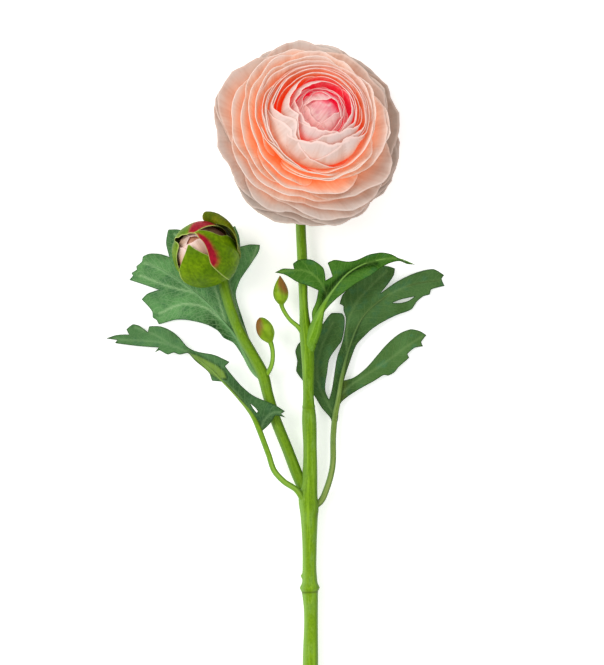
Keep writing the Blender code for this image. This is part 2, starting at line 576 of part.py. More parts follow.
stem_seat, branch_seat = build_stems()
build_flower()
build_opening_bud()
build_closed_bud("upper_small_bud", UPPER_BUD, UPPER_BUD_FOOT, UPPER_BUD_AXIS, UPPER_BUD_STALK, stem_seat)
build_closed_bud("lower_small_bud", LOWER_BUD, LOWER_BUD_FOOT, LOWER_BUD_AXIS, LOWER_BUD_STALK, branch_seat)
add_leaf("right_leaf", RIGHT_LEAF, RIGHT_LEAF_HEIGHTS, RIGHT_LEAF_STALK, LEAF_FINISH, [stem_seat])
add_leaf("left_leaf", LEFT_LEAF, LEFT_LEAF_HEIGHTS, LEFT_LEAF_STALK, LEAF_FINISH, [stem_seat, branch_seat])
add_leaf("bud_leaf", BUD_LEAF, BUD_LEAF_HEIGHTS, BUD_LEAF_STALK, BUD_LEAF_FINISH, [branch_seat])
add_leaf("stem_leaf", STEM_LEAF, STEM_LEAF_HEIGHTS, STEM_LEAF_STALK, LEAF_FINISH, [stem_seat])
stand_on_origin()
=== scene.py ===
# %% [markdown]
# # A ranunculus spray
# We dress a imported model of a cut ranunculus: one open double flower, one opening bud,
# two closed buds and four divided leaves on a branched stem. The spray lies on its back
# and we look straight down on it. Every new piece is a surface worked out with numpy,
# and it takes the place of the plain solid of the same name.

# %% Load the frame
import functools
import math

import bpy
import numpy as np
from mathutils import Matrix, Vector
from mathutils.geometry import delaunay_2d_cdt


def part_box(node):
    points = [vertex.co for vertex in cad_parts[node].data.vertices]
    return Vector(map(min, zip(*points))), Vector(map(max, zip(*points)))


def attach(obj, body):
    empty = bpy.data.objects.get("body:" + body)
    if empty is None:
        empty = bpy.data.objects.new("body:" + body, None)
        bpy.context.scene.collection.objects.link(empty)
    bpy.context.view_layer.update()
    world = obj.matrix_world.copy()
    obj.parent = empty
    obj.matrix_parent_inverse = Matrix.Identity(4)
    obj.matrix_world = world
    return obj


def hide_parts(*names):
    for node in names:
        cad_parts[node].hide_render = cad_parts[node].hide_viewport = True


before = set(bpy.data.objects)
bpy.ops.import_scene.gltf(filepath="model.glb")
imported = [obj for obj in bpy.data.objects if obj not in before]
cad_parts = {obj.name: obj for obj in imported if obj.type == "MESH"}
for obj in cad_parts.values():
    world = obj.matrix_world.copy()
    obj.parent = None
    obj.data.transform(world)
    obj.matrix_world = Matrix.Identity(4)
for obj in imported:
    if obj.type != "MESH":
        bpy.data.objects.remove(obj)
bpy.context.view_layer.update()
MM = 0.001

# %% [markdown]
# ## Routes
# A stalk of the real flower bends a little at every joint. It could be a Bezier curve
# with a bevel, but we want to move single points of its skin later, so we work out its
# route ourselves. Each row is x, y, z and the stalk's radius, in millimetres, in a plan
# frame with the fork of the stem at x = y = 0. A cubic Hermite curve passes through
# every row and keeps an even flow between them.

# %% A smooth route through rows of points
FLOWER_BASE = (-3.7, 153.6, 9.5)
FLOWER_AXIS = (0.26, 0.315, 0.913)
BUD_CENTRE = (-45.2, 104.2, 18.4)
BUD_AXIS = (-0.447, 0.397, 0.802)


def hermite(a, b, a_slope, b_slope, s):
    """(1+2s)(1-s)^2 a + s(1-s)^2 A + s^2(3-2s) b + s^2(s-1) B, with slopes A and B times the span."""
    return ((1 + 2 * s) * (1 - s) ** 2 * a + s * (1 - s) ** 2 * a_slope
            + s * s * (3 - 2 * s) * b + s * s * (s - 1) * b_slope)


def reach_of(points):
    """How far along a line each of its points lies: the running sum of its steps' lengths."""
    return np.r_[0.0, np.cumsum(np.linalg.norm(np.diff(points, axis=0), axis=1))]


def smooth_route(rows, step):
    """Cubic Hermite curve through the rows, sampled about every step millimetres."""
    rows = np.array(rows, dtype=float)
    reach = reach_of(rows[:, :3])
    slope = np.gradient(rows, reach, axis=0)
    at = np.union1d(np.linspace(0.0, reach[-1], int(reach[-1] / step) + 2), reach)
    i = np.clip(np.searchsorted(reach, at, side="right") - 1, 0, len(rows) - 2)
    span = (reach[i + 1] - reach[i])[:, None]
    s = (at - reach[i])[:, None] / span
    return hermite(rows[i], rows[i + 1], span * slope[i], span * slope[i + 1], s)


def along(foot, axis, distance):
    """Point at a distance from the foot along the axis."""
    return tuple(np.array(foot) + distance * np.array(axis) / np.linalg.norm(axis))


# the last two rows of a stem run straight into the flower or bud that it carries
MAIN_STEM = [
    (1.5, -152.0, 3.4, 3.35), (0.9, -110.0, 3.9, 3.35), (0.6, -72.0, 4.9, 3.3),
    (0.6, -45.0, 5.6, 3.25), (0.4, -42.0, 5.7, 3.5), (0.3, -39.8, 5.7, 4.1),
    (0.3, -37.6, 5.8, 3.4), (0.2, -34.5, 5.8, 3.15), (0.2, -22.0, 6.2, 3.1),
    (0.0, -9.0, 6.7, 3.7), (-0.5, 0.0, 7.0, 4.1), (0.0, 5.5, 7.1, 3.6),
    (0.4, 12.0, 7.3, 3.15), (0.4, 20.0, 7.6, 2.95), (-0.1, 36.0, 8.0, 2.9),
    (-0.2, 38.6, 8.1, 2.6), (-0.4, 56.0, 8.3, 2.65), (-0.9, 66.0, 8.3, 2.9),
    (-1.5, 71.5, 8.3, 2.7), (-2.0, 77.0, 8.2, 2.15), (-2.9, 101.0, 7.2, 2.2),
    (-3.6, 118.0, 5.6, 2.15), (-3.2, 136.0, 3.4, 2.2), (-2.9, 145.5, 2.7, 2.25),
    (-3.2, 149.6, 3.3, 2.35),
    along(FLOWER_BASE, FLOWER_AXIS, -3.4) + (2.7,), along(FLOWER_BASE, FLOWER_AXIS, -1.8) + (3.0,),
]
SIDE_STEM = [
    (-0.6, -1.0, 6.9, 2.0), (-3.9, 6.2, 7.2, 2.4), (-9.1, 19.5, 7.5, 2.4),
    (-14.8, 33.9, 7.9, 2.35), (-17.6, 43.1, 8.1, 2.35), (-20.1, 52.6, 8.4, 2.55),
    (-24.2, 60.5, 8.5, 2.35), (-29.0, 69.0, 8.5, 2.3), (-33.6, 80.0, 7.9, 2.3),
    (-36.3, 89.0, 6.8, 2.3), (-37.4, 94.0, 5.9, 2.3),
    along(BUD_CENTRE, BUD_AXIS, -14.2) + (2.4,), along(BUD_CENTRE, BUD_AXIS, -12.2) + (2.3,),
]
main_route = smooth_route(MAIN_STEM, 1.0)
print("main stem, rows:", len(MAIN_STEM), "points of its route:", len(main_route))

# %% [markdown]
# ## From the plan frame to the model's frame
# The model stands with the middle of its box over the origin, so the plan frame has to
# be shifted. The main stem is known in both: we build its tube in the plan frame, and
# the middle of its box must fall on the middle of the solid's box.

# %% Rings along a route, and the shift
def rings_along(route, sides, radius=1.0):
    """Rings round a route: centre + radius (across cos a + up sin a), a from 0 to 360 degrees.

    across is +X with the part along the route taken out, and up = across x direction.
    """
    centre = route[:, :3]
    way = np.gradient(centre, axis=0)
    way /= np.linalg.norm(way, axis=1, keepdims=True)
    across = np.array([1.0, 0.0, 0.0]) - way[:, :1] * way
    across /= np.linalg.norm(across, axis=1, keepdims=True)
    up = np.cross(across, way)
    a = np.arange(sides) * 2 * math.pi / sides
    spoke = across[:, None] * np.cos(a)[None, :, None] + up[:, None] * np.sin(a)[None, :, None]
    size = route[:, 3][:, None] * radius
    return centre[:, None] + spoke * size[:, :, None]


SOLID_SIDES = 12     # the solid stem's tube has as many sides
stem_rings = rings_along(main_route, SOLID_SIDES).reshape(-1, 3)
low, high = (np.array(corner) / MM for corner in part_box("main_stem"))
SHIFT = (low + high) / 2 - (stem_rings.min(axis=0) + stem_rings.max(axis=0)) / 2
print("shift in mm:", SHIFT.round(2))

# %% [markdown]
# ## Meshes from arrays
# Blender can take a whole surface at once: an array of points, a list of faces, and one
# number or vector for each point, which a material can read back as an attribute.

# %% A mesh from arrays
def to_mesh(name, points, faces, uv, attributes):
    """Mesh object at the origin from plan points in mm, with a UV and attributes for each point."""
    mesh = bpy.data.meshes.new(name)
    placed = (np.asarray(points) + SHIFT) * MM
    mesh.from_pydata(placed, [], [list(face) for face in faces])
    mesh.shade_smooth()
    corner = np.empty(len(mesh.loops), dtype=np.int32)
    mesh.loops.foreach_get("vertex_index", corner)
    layer = mesh.uv_layers.new(name="UVMap")
    layer.data.foreach_set("uv", np.asarray(uv, dtype=np.float32)[corner].ravel())
    for key, values in attributes.items():
        values = np.asarray(values, dtype=np.float32)
        three = values.size == 3 * len(placed)
        layer = mesh.attributes.new(key, "FLOAT_VECTOR" if three else "FLOAT", "POINT")
        layer.data.foreach_set("vector" if three else "value", values.ravel())
    piece = bpy.data.objects.new(name, mesh)
    bpy.context.scene.collection.objects.link(piece)
    return piece


def facing_out(piece):
    """Signed volume of a closed mesh in cubic mm, the sum of a . (b x c) / 6 over its triangles.

    It is positive when the faces point outwards.
    """
    mesh = piece.data
    mesh.calc_loop_triangles()
    corner = np.empty(len(mesh.loop_triangles) * 3, dtype=np.int32)
    mesh.loop_triangles.foreach_get("vertices", corner)
    point = np.empty(len(mesh.vertices) * 3)
    mesh.vertices.foreach_get("co", point)
    a, b, c = point.reshape(-1, 3)[corner.reshape(-1, 3)].transpose(1, 0, 2)
    return float(np.einsum("ij,ij->i", a, np.cross(b, c)).sum() / 6) / MM ** 3


def place_piece(piece, material, nodes=()):
    """Give a piece its material and body, and hide the solids that it stands for."""
    piece.data.materials.append(material)
    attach(piece, "root")
    if nodes:
        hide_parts(*nodes)


print("the fork of the stem lies at, in metres:", (SHIFT * MM).round(4))

# %% [markdown]
# ## Sheets and tubes
# A real petal is thin cloth with two faces. Its mesh is a grid of points, pushed half its
# thickness to both sides along the grid's normal, and closed round its rim, so that the
# inner and the outer face can have their own colours. A stalk is a stack of rings with a
# flat face at each end.

# %% Sheets and tubes
def smooth_step(x):
    """3 x^2 - 2 x^3, with x kept from 0 to 1."""
    x = np.clip(x, 0.0, 1.0)
    return x * x * (3 - 2 * x)


def grid_faces(rows, columns, start=0):
    """Quads of a rows x columns grid of points: (i, j), (i, j+1), (i+1, j+1), (i+1, j)."""
    index = np.arange(rows * columns).reshape(rows, columns) + start
    corners = [index[:-1, :-1], index[:-1, 1:], index[1:, 1:], index[1:, :-1]]
    return np.stack(corners, -1).reshape(-1, 4)


def grid_normals(points):
    """Unit cross product of the grid's two directions at each of its points."""
    normal = np.cross(np.gradient(points, axis=1), np.gradient(points, axis=0))
    return normal / np.maximum(np.linalg.norm(normal, axis=2, keepdims=True), 1e-9)


def sheet(name, points, thickness, uv, attributes):
    """Closed thin sheet round a grid: points +- normal * thickness / 2, joined round the rim."""
    rows, columns = points.shape[:2]
    half = grid_normals(points) * np.asarray(thickness)[..., None] / 2
    both = np.concatenate([(points + half).reshape(-1, 3), (points - half).reshape(-1, 3)])
    count = rows * columns
    rim = np.arange(count).reshape(rows, columns)
    loop = np.concatenate([rim[0, :-1], rim[:-1, -1], rim[-1, :0:-1], rim[:0:-1, 0]])
    after = np.roll(loop, -1)
    walls = np.stack([loop + count, after + count, after, loop], -1)
    faces = np.concatenate([grid_faces(rows, columns), grid_faces(rows, columns, count)[:, ::-1], walls])
    extra = {key: np.tile(np.broadcast_to(value, (rows, columns)).ravel(), 2)
             for key, value in attributes.items()}
    extra["inside"] = np.repeat([0.0, 1.0], count)
    return to_mesh(name, both, faces, np.tile(uv.reshape(-1, 2), (2, 1)), extra)


def tube(name, rings, attributes=None):
    """Closed tube from a stack of rings (rows, sides, 3), with a flat face at each end."""
    rows, sides = rings.shape[:2]
    index = np.arange(rows * sides).reshape(rows, sides)
    around = np.concatenate([index, index[:, :1]], axis=1)
    corners = [around[:-1, :-1], around[1:, :-1], around[1:, 1:], around[:-1, 1:]]
    quads = np.stack(corners, -1).reshape(-1, 4)
    faces = [list(quad) for quad in quads] + [list(index[0]), list(index[-1][::-1])]
    turn = np.broadcast_to(np.arange(sides) / sides, (rows, sides))
    length = np.broadcast_to(np.linspace(0, 1, rows)[:, None], (rows, sides))
    uv = np.stack([turn, length], -1).reshape(-1, 2)
    return to_mesh(name, rings.reshape(-1, 3), faces, uv, attributes or {})


print("quads of a grid of 3 x 3 points:", len(grid_faces(3, 3)))

# %% [markdown]
# ## Colours and nodes
# Colours are written as sRGB hex values and turned to the linear values that a shader
# needs. One small function adds any node, sets it up and links it. Much of what the eye
# sees on a petal or leaf is one colour laid thinly over another where a pattern is
# strong, so that has a function of its own.

# %% Colour and node helpers
# node settings that come back in every material
TIMES, LESS, TIMES_PLUS = ({"operation": word} for word in ("MULTIPLY", "SUBTRACT", "MULTIPLY_ADD"))
BLEND, DARKEN = {"data_type": "RGBA"}, {"data_type": "RGBA", "blend_type": "MULTIPLY"}
SMOOTH = {"interpolation_type": "SMOOTHSTEP"}


def paint(hex_colour):
    """Linear RGBA of an sRGB hex colour: ((c + 0.055) / 1.055) ^ 2.4, or c / 12.92 near black."""
    c = np.array([int(hex_colour[i:i + 2], 16) for i in (0, 2, 4)]) / 255
    return tuple(np.where(c <= 0.04045, c / 12.92, ((c + 0.055) / 1.055) ** 2.4)) + (1.0,)


def wire(node, inputs):
    """Set a node's inputs by name or number, or link those whose value is a node's output."""
    for key, value in inputs.items():
        if isinstance(value, bpy.types.NodeSocket):
            node.id_data.links.new(value, node.inputs[key])
        else:
            node.inputs[key].default_value = value


def add_node(tree, kind, *values, output=0, stops=(), **settings):
    """Add a shader node with its properties and inputs, and return one of its outputs.

    The values fill the inputs that show on the node, from the top down, unless one
    dictionary names them. stops are the (position, hex colour) rows of a colour ramp.
    """
    node = tree.nodes.new("ShaderNode" + kind)
    for key, value in settings.items():
        setattr(node, key, value)
    for _ in stops[2:]:
        node.color_ramp.elements.new(0.5)
    for i, (position, hex_colour) in enumerate(stops):
        node.color_ramp.elements[i].position = position
        node.color_ramp.elements[i].color = paint(hex_colour)
    showing = [i for i, socket in enumerate(node.inputs) if socket.enabled]
    named = values and isinstance(values[0], dict)
    wire(node, values[0] if named else dict(zip(showing, values)))
    if isinstance(output, str):
        return node.outputs[output]
    return [socket for socket in node.outputs if socket.enabled][output]


def new_material(name, **sockets):
    """Principled material with its constant sockets, a function that adds a node to it, and its shader."""
    material = bpy.data.materials.new(name)
    material.use_nodes = True
    shader = material.node_tree.nodes["Principled BSDF"]
    wire(shader, {key.replace("_", " "): value for key, value in sockets.items()})
    return material, functools.partial(add_node, material.node_tree), shader


def lay_over(node, colour, pattern, low, high, strength, over, settings=BLEND):
    """Lay a colour over another: strength times a smooth step of the pattern from low to high."""
    amount = node("Math", node("MapRange", pattern, low, high, **SMOOTH), strength, **TIMES)
    return node("Mix", amount, colour, paint(over), **settings)


print("white in linear values:", paint("FFFFFF"), "middle grey:", round(float(paint("808080")[0]), 3))

# %% [markdown]
# ## Petal cloth
# The petals look like thin polyester satin, airbrushed from a hot orange or red at the
# base to a pale cream rim, and pressed with fine lengthwise creases. Light gets through
# such cloth, so the depths between the petals glow instead of going black. Subsurface
# scattering could do that. A weak glow in the material costs less and keeps the
# airbrushed colours clear, so we use that. All colours follow how far out along the
# petal a point lies, and the "nest" attribute (0 at the heart, 1 outside) chooses
# between the pink middle and the peach outside.

# %% Petal material
# between which values of nest one ramp gives way to the next: heart, cup, middle petals, outermost petals
ZONES = [(0.0, 0.14), (0.24, 0.45), (0.68, 0.96)]
PAINTED_SHADE_TAN = "DCCCC0"     # painted shade: multiplies the colour of the outer petals that lie in shade, a tan tint
CREASE_SHADE = "ECE0DA"    # painted shade: this one multiplies the colour in the bottom of a crease


def zoned(node, nest, t, ramps):
    """The ramps read at t, one for each zone of the flower, blended where nest crosses a zone's edge."""
    colour = node("ValToRGB", t, stops=ramps[0])
    for (low, high), stops in zip(ZONES, ramps[1:]):
        mask = node("MapRange", nest, low, high, **SMOOTH)
        colour = node("Mix", mask, colour, node("ValToRGB", t, stops=stops), **BLEND)
    return colour


def petal_material(name, fronts, backs, glows, rims=("F8D8D0", "F2E0D6"), rim_highlight_glow="74605A",
                   fold_shade_colour="B04A64", mottle=0.25, pale_sheen="EADCD4"):
    """Satin with ramps for the inner faces, the outer faces and the glow of the depths.

    The cloth is nearly matt: woven polyester has an IOR near 1.45, and its threads
    scatter the light, so the eye sees a soft sheen and no mirror spots.
    """
    material, node, shader = new_material(
        name, Roughness=0.62, Sheen_Weight=0.05, IOR=1.45, Specular_IOR_Level=0.15, Emission_Strength=0.5)
    uv = node("UVMap", uv_map="UVMap")
    place = node("TexCoord", output="Object")
    nest, inside, painted_shade, deep, fold_and_shade = (
        node("Attribute", output="Fac", attribute_name=key)
        for key in ("nest", "inside", "painted_shade", "deep", "fold_and_shade"))
    # the airbrushed edge wanders in patches 11 mm wide; creases are about 1 mm apart across a petal
    cloud = node("TexNoise", place, 90.0, 2.0)
    crease = node("TexNoise", node("Mapping", {"Vector": uv, "Scale": (26.0, 1.6, 1.0)}), 1.0, 3.0)
    t = node("Math", node("Math", cloud, 0.5, **LESS), 0.20, deep, **TIMES_PLUS)
    t = node("Math", node("Math", crease, 0.5, **LESS), 0.12, t, **TIMES_PLUS)
    colour = node("Mix", inside, zoned(node, nest, t, backs), zoned(node, nest, t, fronts), **BLEND)
    # pale patches 4 mm wide, partly random tone and partly painted sheen
    colour = lay_over(node, colour, node("TexNoise", place, 250.0, 3.0), 0.48, 0.68, mottle, pale_sheen)
    # painted shade: the tan tint on the outer petals
    colour = node("Mix", painted_shade, colour, paint(PAINTED_SHADE_TAN), **DARKEN)
    # painted shade in the bottom of the creases
    colour = lay_over(node, colour, crease, 0.65, 0.25, 1.0, CREASE_SHADE, DARKEN)
    # painted shade along the heart's folds and on the bud petals' shaded side
    colour = node("Mix", fold_and_shade, colour, paint(fold_shade_colour), **BLEND)
    # the turned rim is paler, partly its own colour and partly a painted highlight, and less so on the outer
    # petals
    rim_colour = lay_over(node, paint(rims[0]), nest, 0.24, 0.50, 1.0, rims[1])
    rim_strength = node("Math", node("MapRange", nest, 0.35, 0.85, **SMOOTH), -0.40, 0.72, **TIMES_PLUS)
    v = node("SeparateXYZ", uv, output=1)
    rim = node("Math", node("MapRange", v, 0.965, 0.990, **SMOOTH), rim_strength, **TIMES)
    colour = node("Mix", rim, colour, rim_colour, **BLEND)
    # less glow where the painted shade lies
    shade_glow_cut = node("Math", painted_shade, 0.55, **TIMES)
    glow = node("Mix", shade_glow_cut, zoned(node, nest, t, glows), paint("000000"), **BLEND)
    # painted highlight: the rim's own glow
    glow = node("Mix", rim, glow, paint(rim_highlight_glow), **BLEND)
    height = node("Math", crease, 0.7, node("Math", cloud, 0.3, **TIMES), **TIMES_PLUS)
    bump = node("Bump", {"Height": height, "Strength": 0.3, "Distance": 0.0004})
    wire(shader, {"Base Color": colour, "Emission Color": glow, "Normal": bump})
    return material


print("zones of the flower:", len(ZONES) + 1)

# %% [markdown]
# ## Peach satin
# The open flower's colours, zone by zone from the heart outwards: red and pink, orange,
# peach, and pale grey outside. Each row is a place along the petal, from its claw at 0
# to its rim at 1, and the airbrushed colour there.

# %% Peach satin
PETAL_SATIN = petal_material(
    "petal_satin_peach",
    fronts=[
        [(0.0, "D80C34"), (0.60, "E83850"), (0.80, "F07078"), (0.92, "F4AAA8"), (1.0, "F8D4D0")],
        [(0.0, "DC2408"), (0.54, "EA4A24"), (0.74, "F28458"), (0.87, "F6B49C"), (1.0, "F6D8D0")],
        [(0.0, "E85A24"), (0.45, "F07C44"), (0.58, "F6A070"), (0.68, "F8BC98"), (0.80, "F4CCB4"),
         (1.0, "EEDCD2")],
        [(0.0, "E88048"), (0.54, "E4A682"), (0.74, "DEBAA6"), (0.88, "CCBEB4"), (1.0, "CCC6C0")]],
    backs=[
        [(0.0, "E83440"), (0.52, "EE8078"), (0.72, "E6A4A0"), (0.90, "D6BEBA"), (1.0, "E4C2BE")],
        [(0.0, "F47434"), (0.38, "F49C6C"), (0.50, "E2B29C"), (0.64, "D0BEB6"), (0.86, "CEC2C0"),
         (1.0, "E0C4BE")],
        [(0.0, "F47838"), (0.58, "F6B088"), (0.78, "F0CAB4"), (0.92, "ECD8CC"), (1.0, "F2E0D8")],
        [(0.0, "E08850"), (0.60, "DEB094"), (1.0, "D4C6BA")]],
    glows=[
        [(0.0, "D01230"), (0.55, "B4162C"), (0.80, "98404A"), (0.92, "84605C"), (1.0, "80625E")],
        [(0.0, "CC2410"), (0.58, "BC3A14"), (0.80, "A8603C"), (0.93, "866456"), (1.0, "80645C")],
        [(0.0, "E0601C"), (0.45, "D87438"), (0.65, "BC8058"), (0.85, "94745F"), (1.0, "6C5850")],
        [(0.0, "C07038"), (0.60, "9A7052"), (0.85, "766258"), (1.0, "4C423C")]])
print("petal satin, nodes:", len(PETAL_SATIN.node_tree.nodes))

# %% [markdown]
# ## The nest of petals
# Each petal lies on a shell: a surface of revolution about the flower's axis whose
# profile is a cubic Bezier curve from the claw to the rim. "nest" is its place in the
# flower, from 0 at the heart to 1 outside, and the tables give the shell's rim at a few
# places. In the real flower the cup leans to one side: its petals close low on one side
# and stay open on the other. So there are two tables, and the azimuth blends them.

# %% Shells of the open flower
CLOSED_SIDE, CLOSED_FLAT, CLOSED_FALL = 258.0, 50.0, 36.0     # where the cup closes low, in degrees
# nest, rim radius, rim height, rim direction in degrees, rim handle over shell length
OPEN_KEYS = np.array([
    (0.00, 10.6, 33.0, 150.0, 0.30), (0.12, 14.4, 32.8, 136.0, 0.28),
    (0.22, 18.4, 31.6, 120.0, 0.26), (0.31, 21.8, 30.2, 106.0, 0.28),
    (0.335, 23.4, 30.4, 98.0, 0.36), (0.47, 26.2, 29.2, 86.0, 0.38),
    (0.52, 28.6, 28.0, 76.0, 0.38), (0.70, 35.6, 22.0, 56.0, 0.38),
    (0.85, 40.6, 14.5, 40.0, 0.38), (1.00, 43.4, 6.8, 24.0, 0.38),
    (1.12, 44.2, 3.0, 14.0, 0.38)])
LAST_NEST = OPEN_KEYS[-1, 0]
CLOSED_KEYS = OPEN_KEYS.copy()
CLOSED_KEYS[:4] = [(0.00, 10.4, 33.2, 152.0, 0.34), (0.12, 11.6, 34.4, 154.0, 0.46),
                   (0.22, 12.8, 34.2, 156.0, 0.58), (0.31, 14.2, 33.6, 156.0, 0.70)]
# the claw stands on the receptacle's dome: nest with the slope there, and with the row on the dome
BASE_SLOPE = np.array([(0.0, 36.0), (0.5, 14.0), (LAST_NEST, -6.0)])
BASE_ROW = np.array([(0.0, 58.0), (1.0, 5.0), (LAST_NEST, -2.0)])
CLAW_RADIUS, CLAW_HEIGHT, CLAW_RISE = 7.35, 10.05, 1.0
BASE_HANDLE = 0.42


def keyed(table, x, column=1):
    """Straight-line value of a table's column at x."""
    return np.interp(x, table[:, 0], table[:, column])


def openness(azimuth):
    """0 within CLOSED_FLAT degrees of the closed side, rising to 1 over the next CLOSED_FALL."""
    off = np.abs((azimuth - CLOSED_SIDE + 180) % 360 - 180)
    return smooth_step((off - CLOSED_FLAT) / CLOSED_FALL)


def shell_point(nest, azimuth, t):
    """Point on a shell: Bezier (1-t)^3 a + 3t(1-t)^2 b + 3t^2(1-t) c + t^3 d, turned to the azimuth.

    a is the claw, d the rim, b and c the handles. Every argument may be an array.
    """
    opening = openness(azimuth)
    radius, height, angle, handle = (
        keyed(OPEN_KEYS, nest, i) * opening + keyed(CLOSED_KEYS, nest, i) * (1 - opening)
        for i in (1, 2, 3, 4))
    row = np.radians(keyed(BASE_ROW, nest))
    ar, az = CLAW_RADIUS * np.cos(row), CLAW_RISE + CLAW_HEIGHT * np.sin(row)
    length = np.hypot(radius - ar, height - az)
    slope, turn = np.radians(keyed(BASE_SLOPE, nest)), np.radians(angle)
    br, bz = ar + BASE_HANDLE * length * np.cos(slope), az + BASE_HANDLE * length * np.sin(slope)
    cr, cz = radius - handle * length * np.cos(turn), height - handle * length * np.sin(turn)
    w = ((1 - t) ** 3, 3 * t * (1 - t) ** 2, 3 * t * t * (1 - t), t ** 3)
    r = w[0] * ar + w[1] * br + w[2] * cr + w[3] * radius
    z = w[0] * az + w[1] * bz + w[2] * cz + w[3] * height
    return r, z


shell_r, shell_z = shell_point(0.31, np.array([CLOSED_SIDE - 180, CLOSED_SIDE]), 0.7)
print("outer cup shell, open and closed side:", shell_r.round(1), shell_z.round(1))

# %% [markdown]
# ## From the flower's frame to the plan
# The real flower nods to one side of its stem. Its petals are easiest to work out about
# an upright axis, so we do that, and turn the points afterwards. The shortest turn from
# the plan's +Z onto the flower's axis keeps azimuths nearly as they look from above.

# %% Head frame
LEAN = np.array([2.6, 2.3, 0.0])     # how far the cup's top leans over, in the flower's frame
CUP_HEIGHT = 32.0
LEAN_RADIUS, LEAN_FALL = 8.0, 20.0   # the whole lean as far out as this, and none after the fall
FLOOR_CLEARANCE = 0.25


def turn_onto(axis):
    """3 x 3 matrix of the shortest turn from +Z onto an axis."""
    return np.array(Vector((0.0, 0.0, 1.0)).rotation_difference(Vector(axis)).to_matrix())


HEAD_TURN = turn_onto(FLOWER_AXIS)


def head_to_plan(points):
    """Lean the middle of the flower, turn it onto its axis, and keep it off the floor."""
    radius = np.hypot(points[..., 0], points[..., 1])
    share = smooth_step(points[..., 2] / CUP_HEIGHT) * (1 - smooth_step((radius - LEAN_RADIUS) / LEAN_FALL))
    plan = (points + share[..., None] * LEAN) @ HEAD_TURN.T + np.array(FLOWER_BASE)
    plan[..., 2] = np.maximum(plan[..., 2], FLOOR_CLEARANCE - SHIFT[2])
    return plan


print("flower axis:", (HEAD_TURN @ np.array([0, 0, 1])).round(3))

# %% [markdown]
# ## The flower's outline
# Seen from above, the real flower isn't round: it swells to the upper right and draws in
# a little at its foot, and its rims ripple. Both could be sculpted by hand. Here they
# are smooth fields round the whole flower, so that a petal and its neighbour swell and
# ripple together and don't cut each other.

# %% Outline and ruffles
# azimuth, width in degrees, and mm of extra reach
OUTLINE = np.array([
    (33.0, 22.0, 4.0), (162.0, 10.0, 2.6), (235.0, 14.0, 1.8), (300.0, 28.0, 2.3), (330.0, 12.0, 1.0),
    (95.0, 14.0, -1.0), (128.0, 18.0, -1.5), (183.0, 9.0, -1.4), (210.0, 9.0, -1.5), (257.0, 11.0, -1.8)])
# mm in and out, waves round the flower, drift of the phase from heart to rim, phase
RUFFLES = [(0.9, 3, 2.0, 0.7), (0.42, 7, 5.0, 2.0), (0.18, 15, 11.0, 0.0)]


def outline_reach(azimuth):
    """Sum over the outline's rows of reach exp(-(angle off / width)^2)."""
    off = (np.asarray(azimuth)[..., None] - OUTLINE[:, 0] + 180) % 360 - 180
    return (OUTLINE[:, 2] * np.exp(-(off / OUTLINE[:, 1]) ** 2)).sum(axis=-1)


def ruffle(nest, azimuth):
    """Sum over the ruffles of size sin(waves a + drift n + phase), n being 2 pi nest."""
    a, n = np.radians(azimuth), nest * 2 * math.pi
    return sum(size * np.sin(waves * a + drift * n + phase) for size, waves, drift, phase in RUFFLES)


print("most extra reach in mm:", outline_reach(np.arange(360.0)).max().round(1))

# %% [markdown]
# ## One petal
# A petal is its shell between two sides that spread from a narrow claw to a broad
# rounded blade. It could be cut from the shell with a Boolean, but a grid that follows
# the petal's own sides keeps the creases running along it. The rim curls out a little
# and is thicker, like a turned edge, so it catches the light.

# %% Petal surface
COLUMNS = np.sin(np.linspace(-1, 1, 49) * math.pi / 2)     # closer together towards both sides
RIM_ROWS = np.concatenate([np.linspace(0, 0.90, 22), [0.925, 0.95, 0.97, 0.985, 0.995, 1.0]])
BODY_THICKNESS, RIM_THICKNESS = 0.16, 0.26
CORNER_POWER = 2.3
CLAW_HALF_WIDTH = 2.0
TUCK = 0.03          # how much further in the nest one side of a petal lies than the other
CREVICE_SHADE_SIDE = math.radians(50.0)
PETAL_SPREAD = np.array([
    (0.0, 84.0), (0.24, 94.0), (0.313, 106.0), (0.34, 72.0), (0.5, 68.0), (1.0, 56.0), (LAST_NEST, 24.0)])
TIP_ROUNDING = np.array([(0.0, 0.66), (0.3, 0.74), (0.5, 0.78), (1.0, 0.80), (LAST_NEST, 0.80)])
# how each of these grows with nest: ruffles, curl of the rim, its droop and the weave of the blade
RUFFLE_GROWTH = np.array([(0, 0.25), (0.3, 0.35), (0.5, 0.7), (1.0, 0.7)])
CURL_GROWTH = np.array([(0, 0.2), (0.32, 0.3), (0.36, 0.7), (0.8, 0.5), (1.0, 0.1)])
DROOP_GROWTH = np.array([(0.3, 0.0), (0.36, 0.2), (1.0, 1.2)])
WEAVE_GROWTH = np.array([(0, 0.10), (0.30, 0.16), (0.40, 0.40), (1.0, 0.45)])
# the outer petals are a little shorter up and down the plan than to the sides
SHORTER_UP, SHORTER_DOWN = 0.075, 0.045


def past(v, start):
    """((v - start) / (1 - start))^2 from the start to v = 1, and 0 before it."""
    return np.clip((v - start) / (1 - start), 0, 1) ** 2


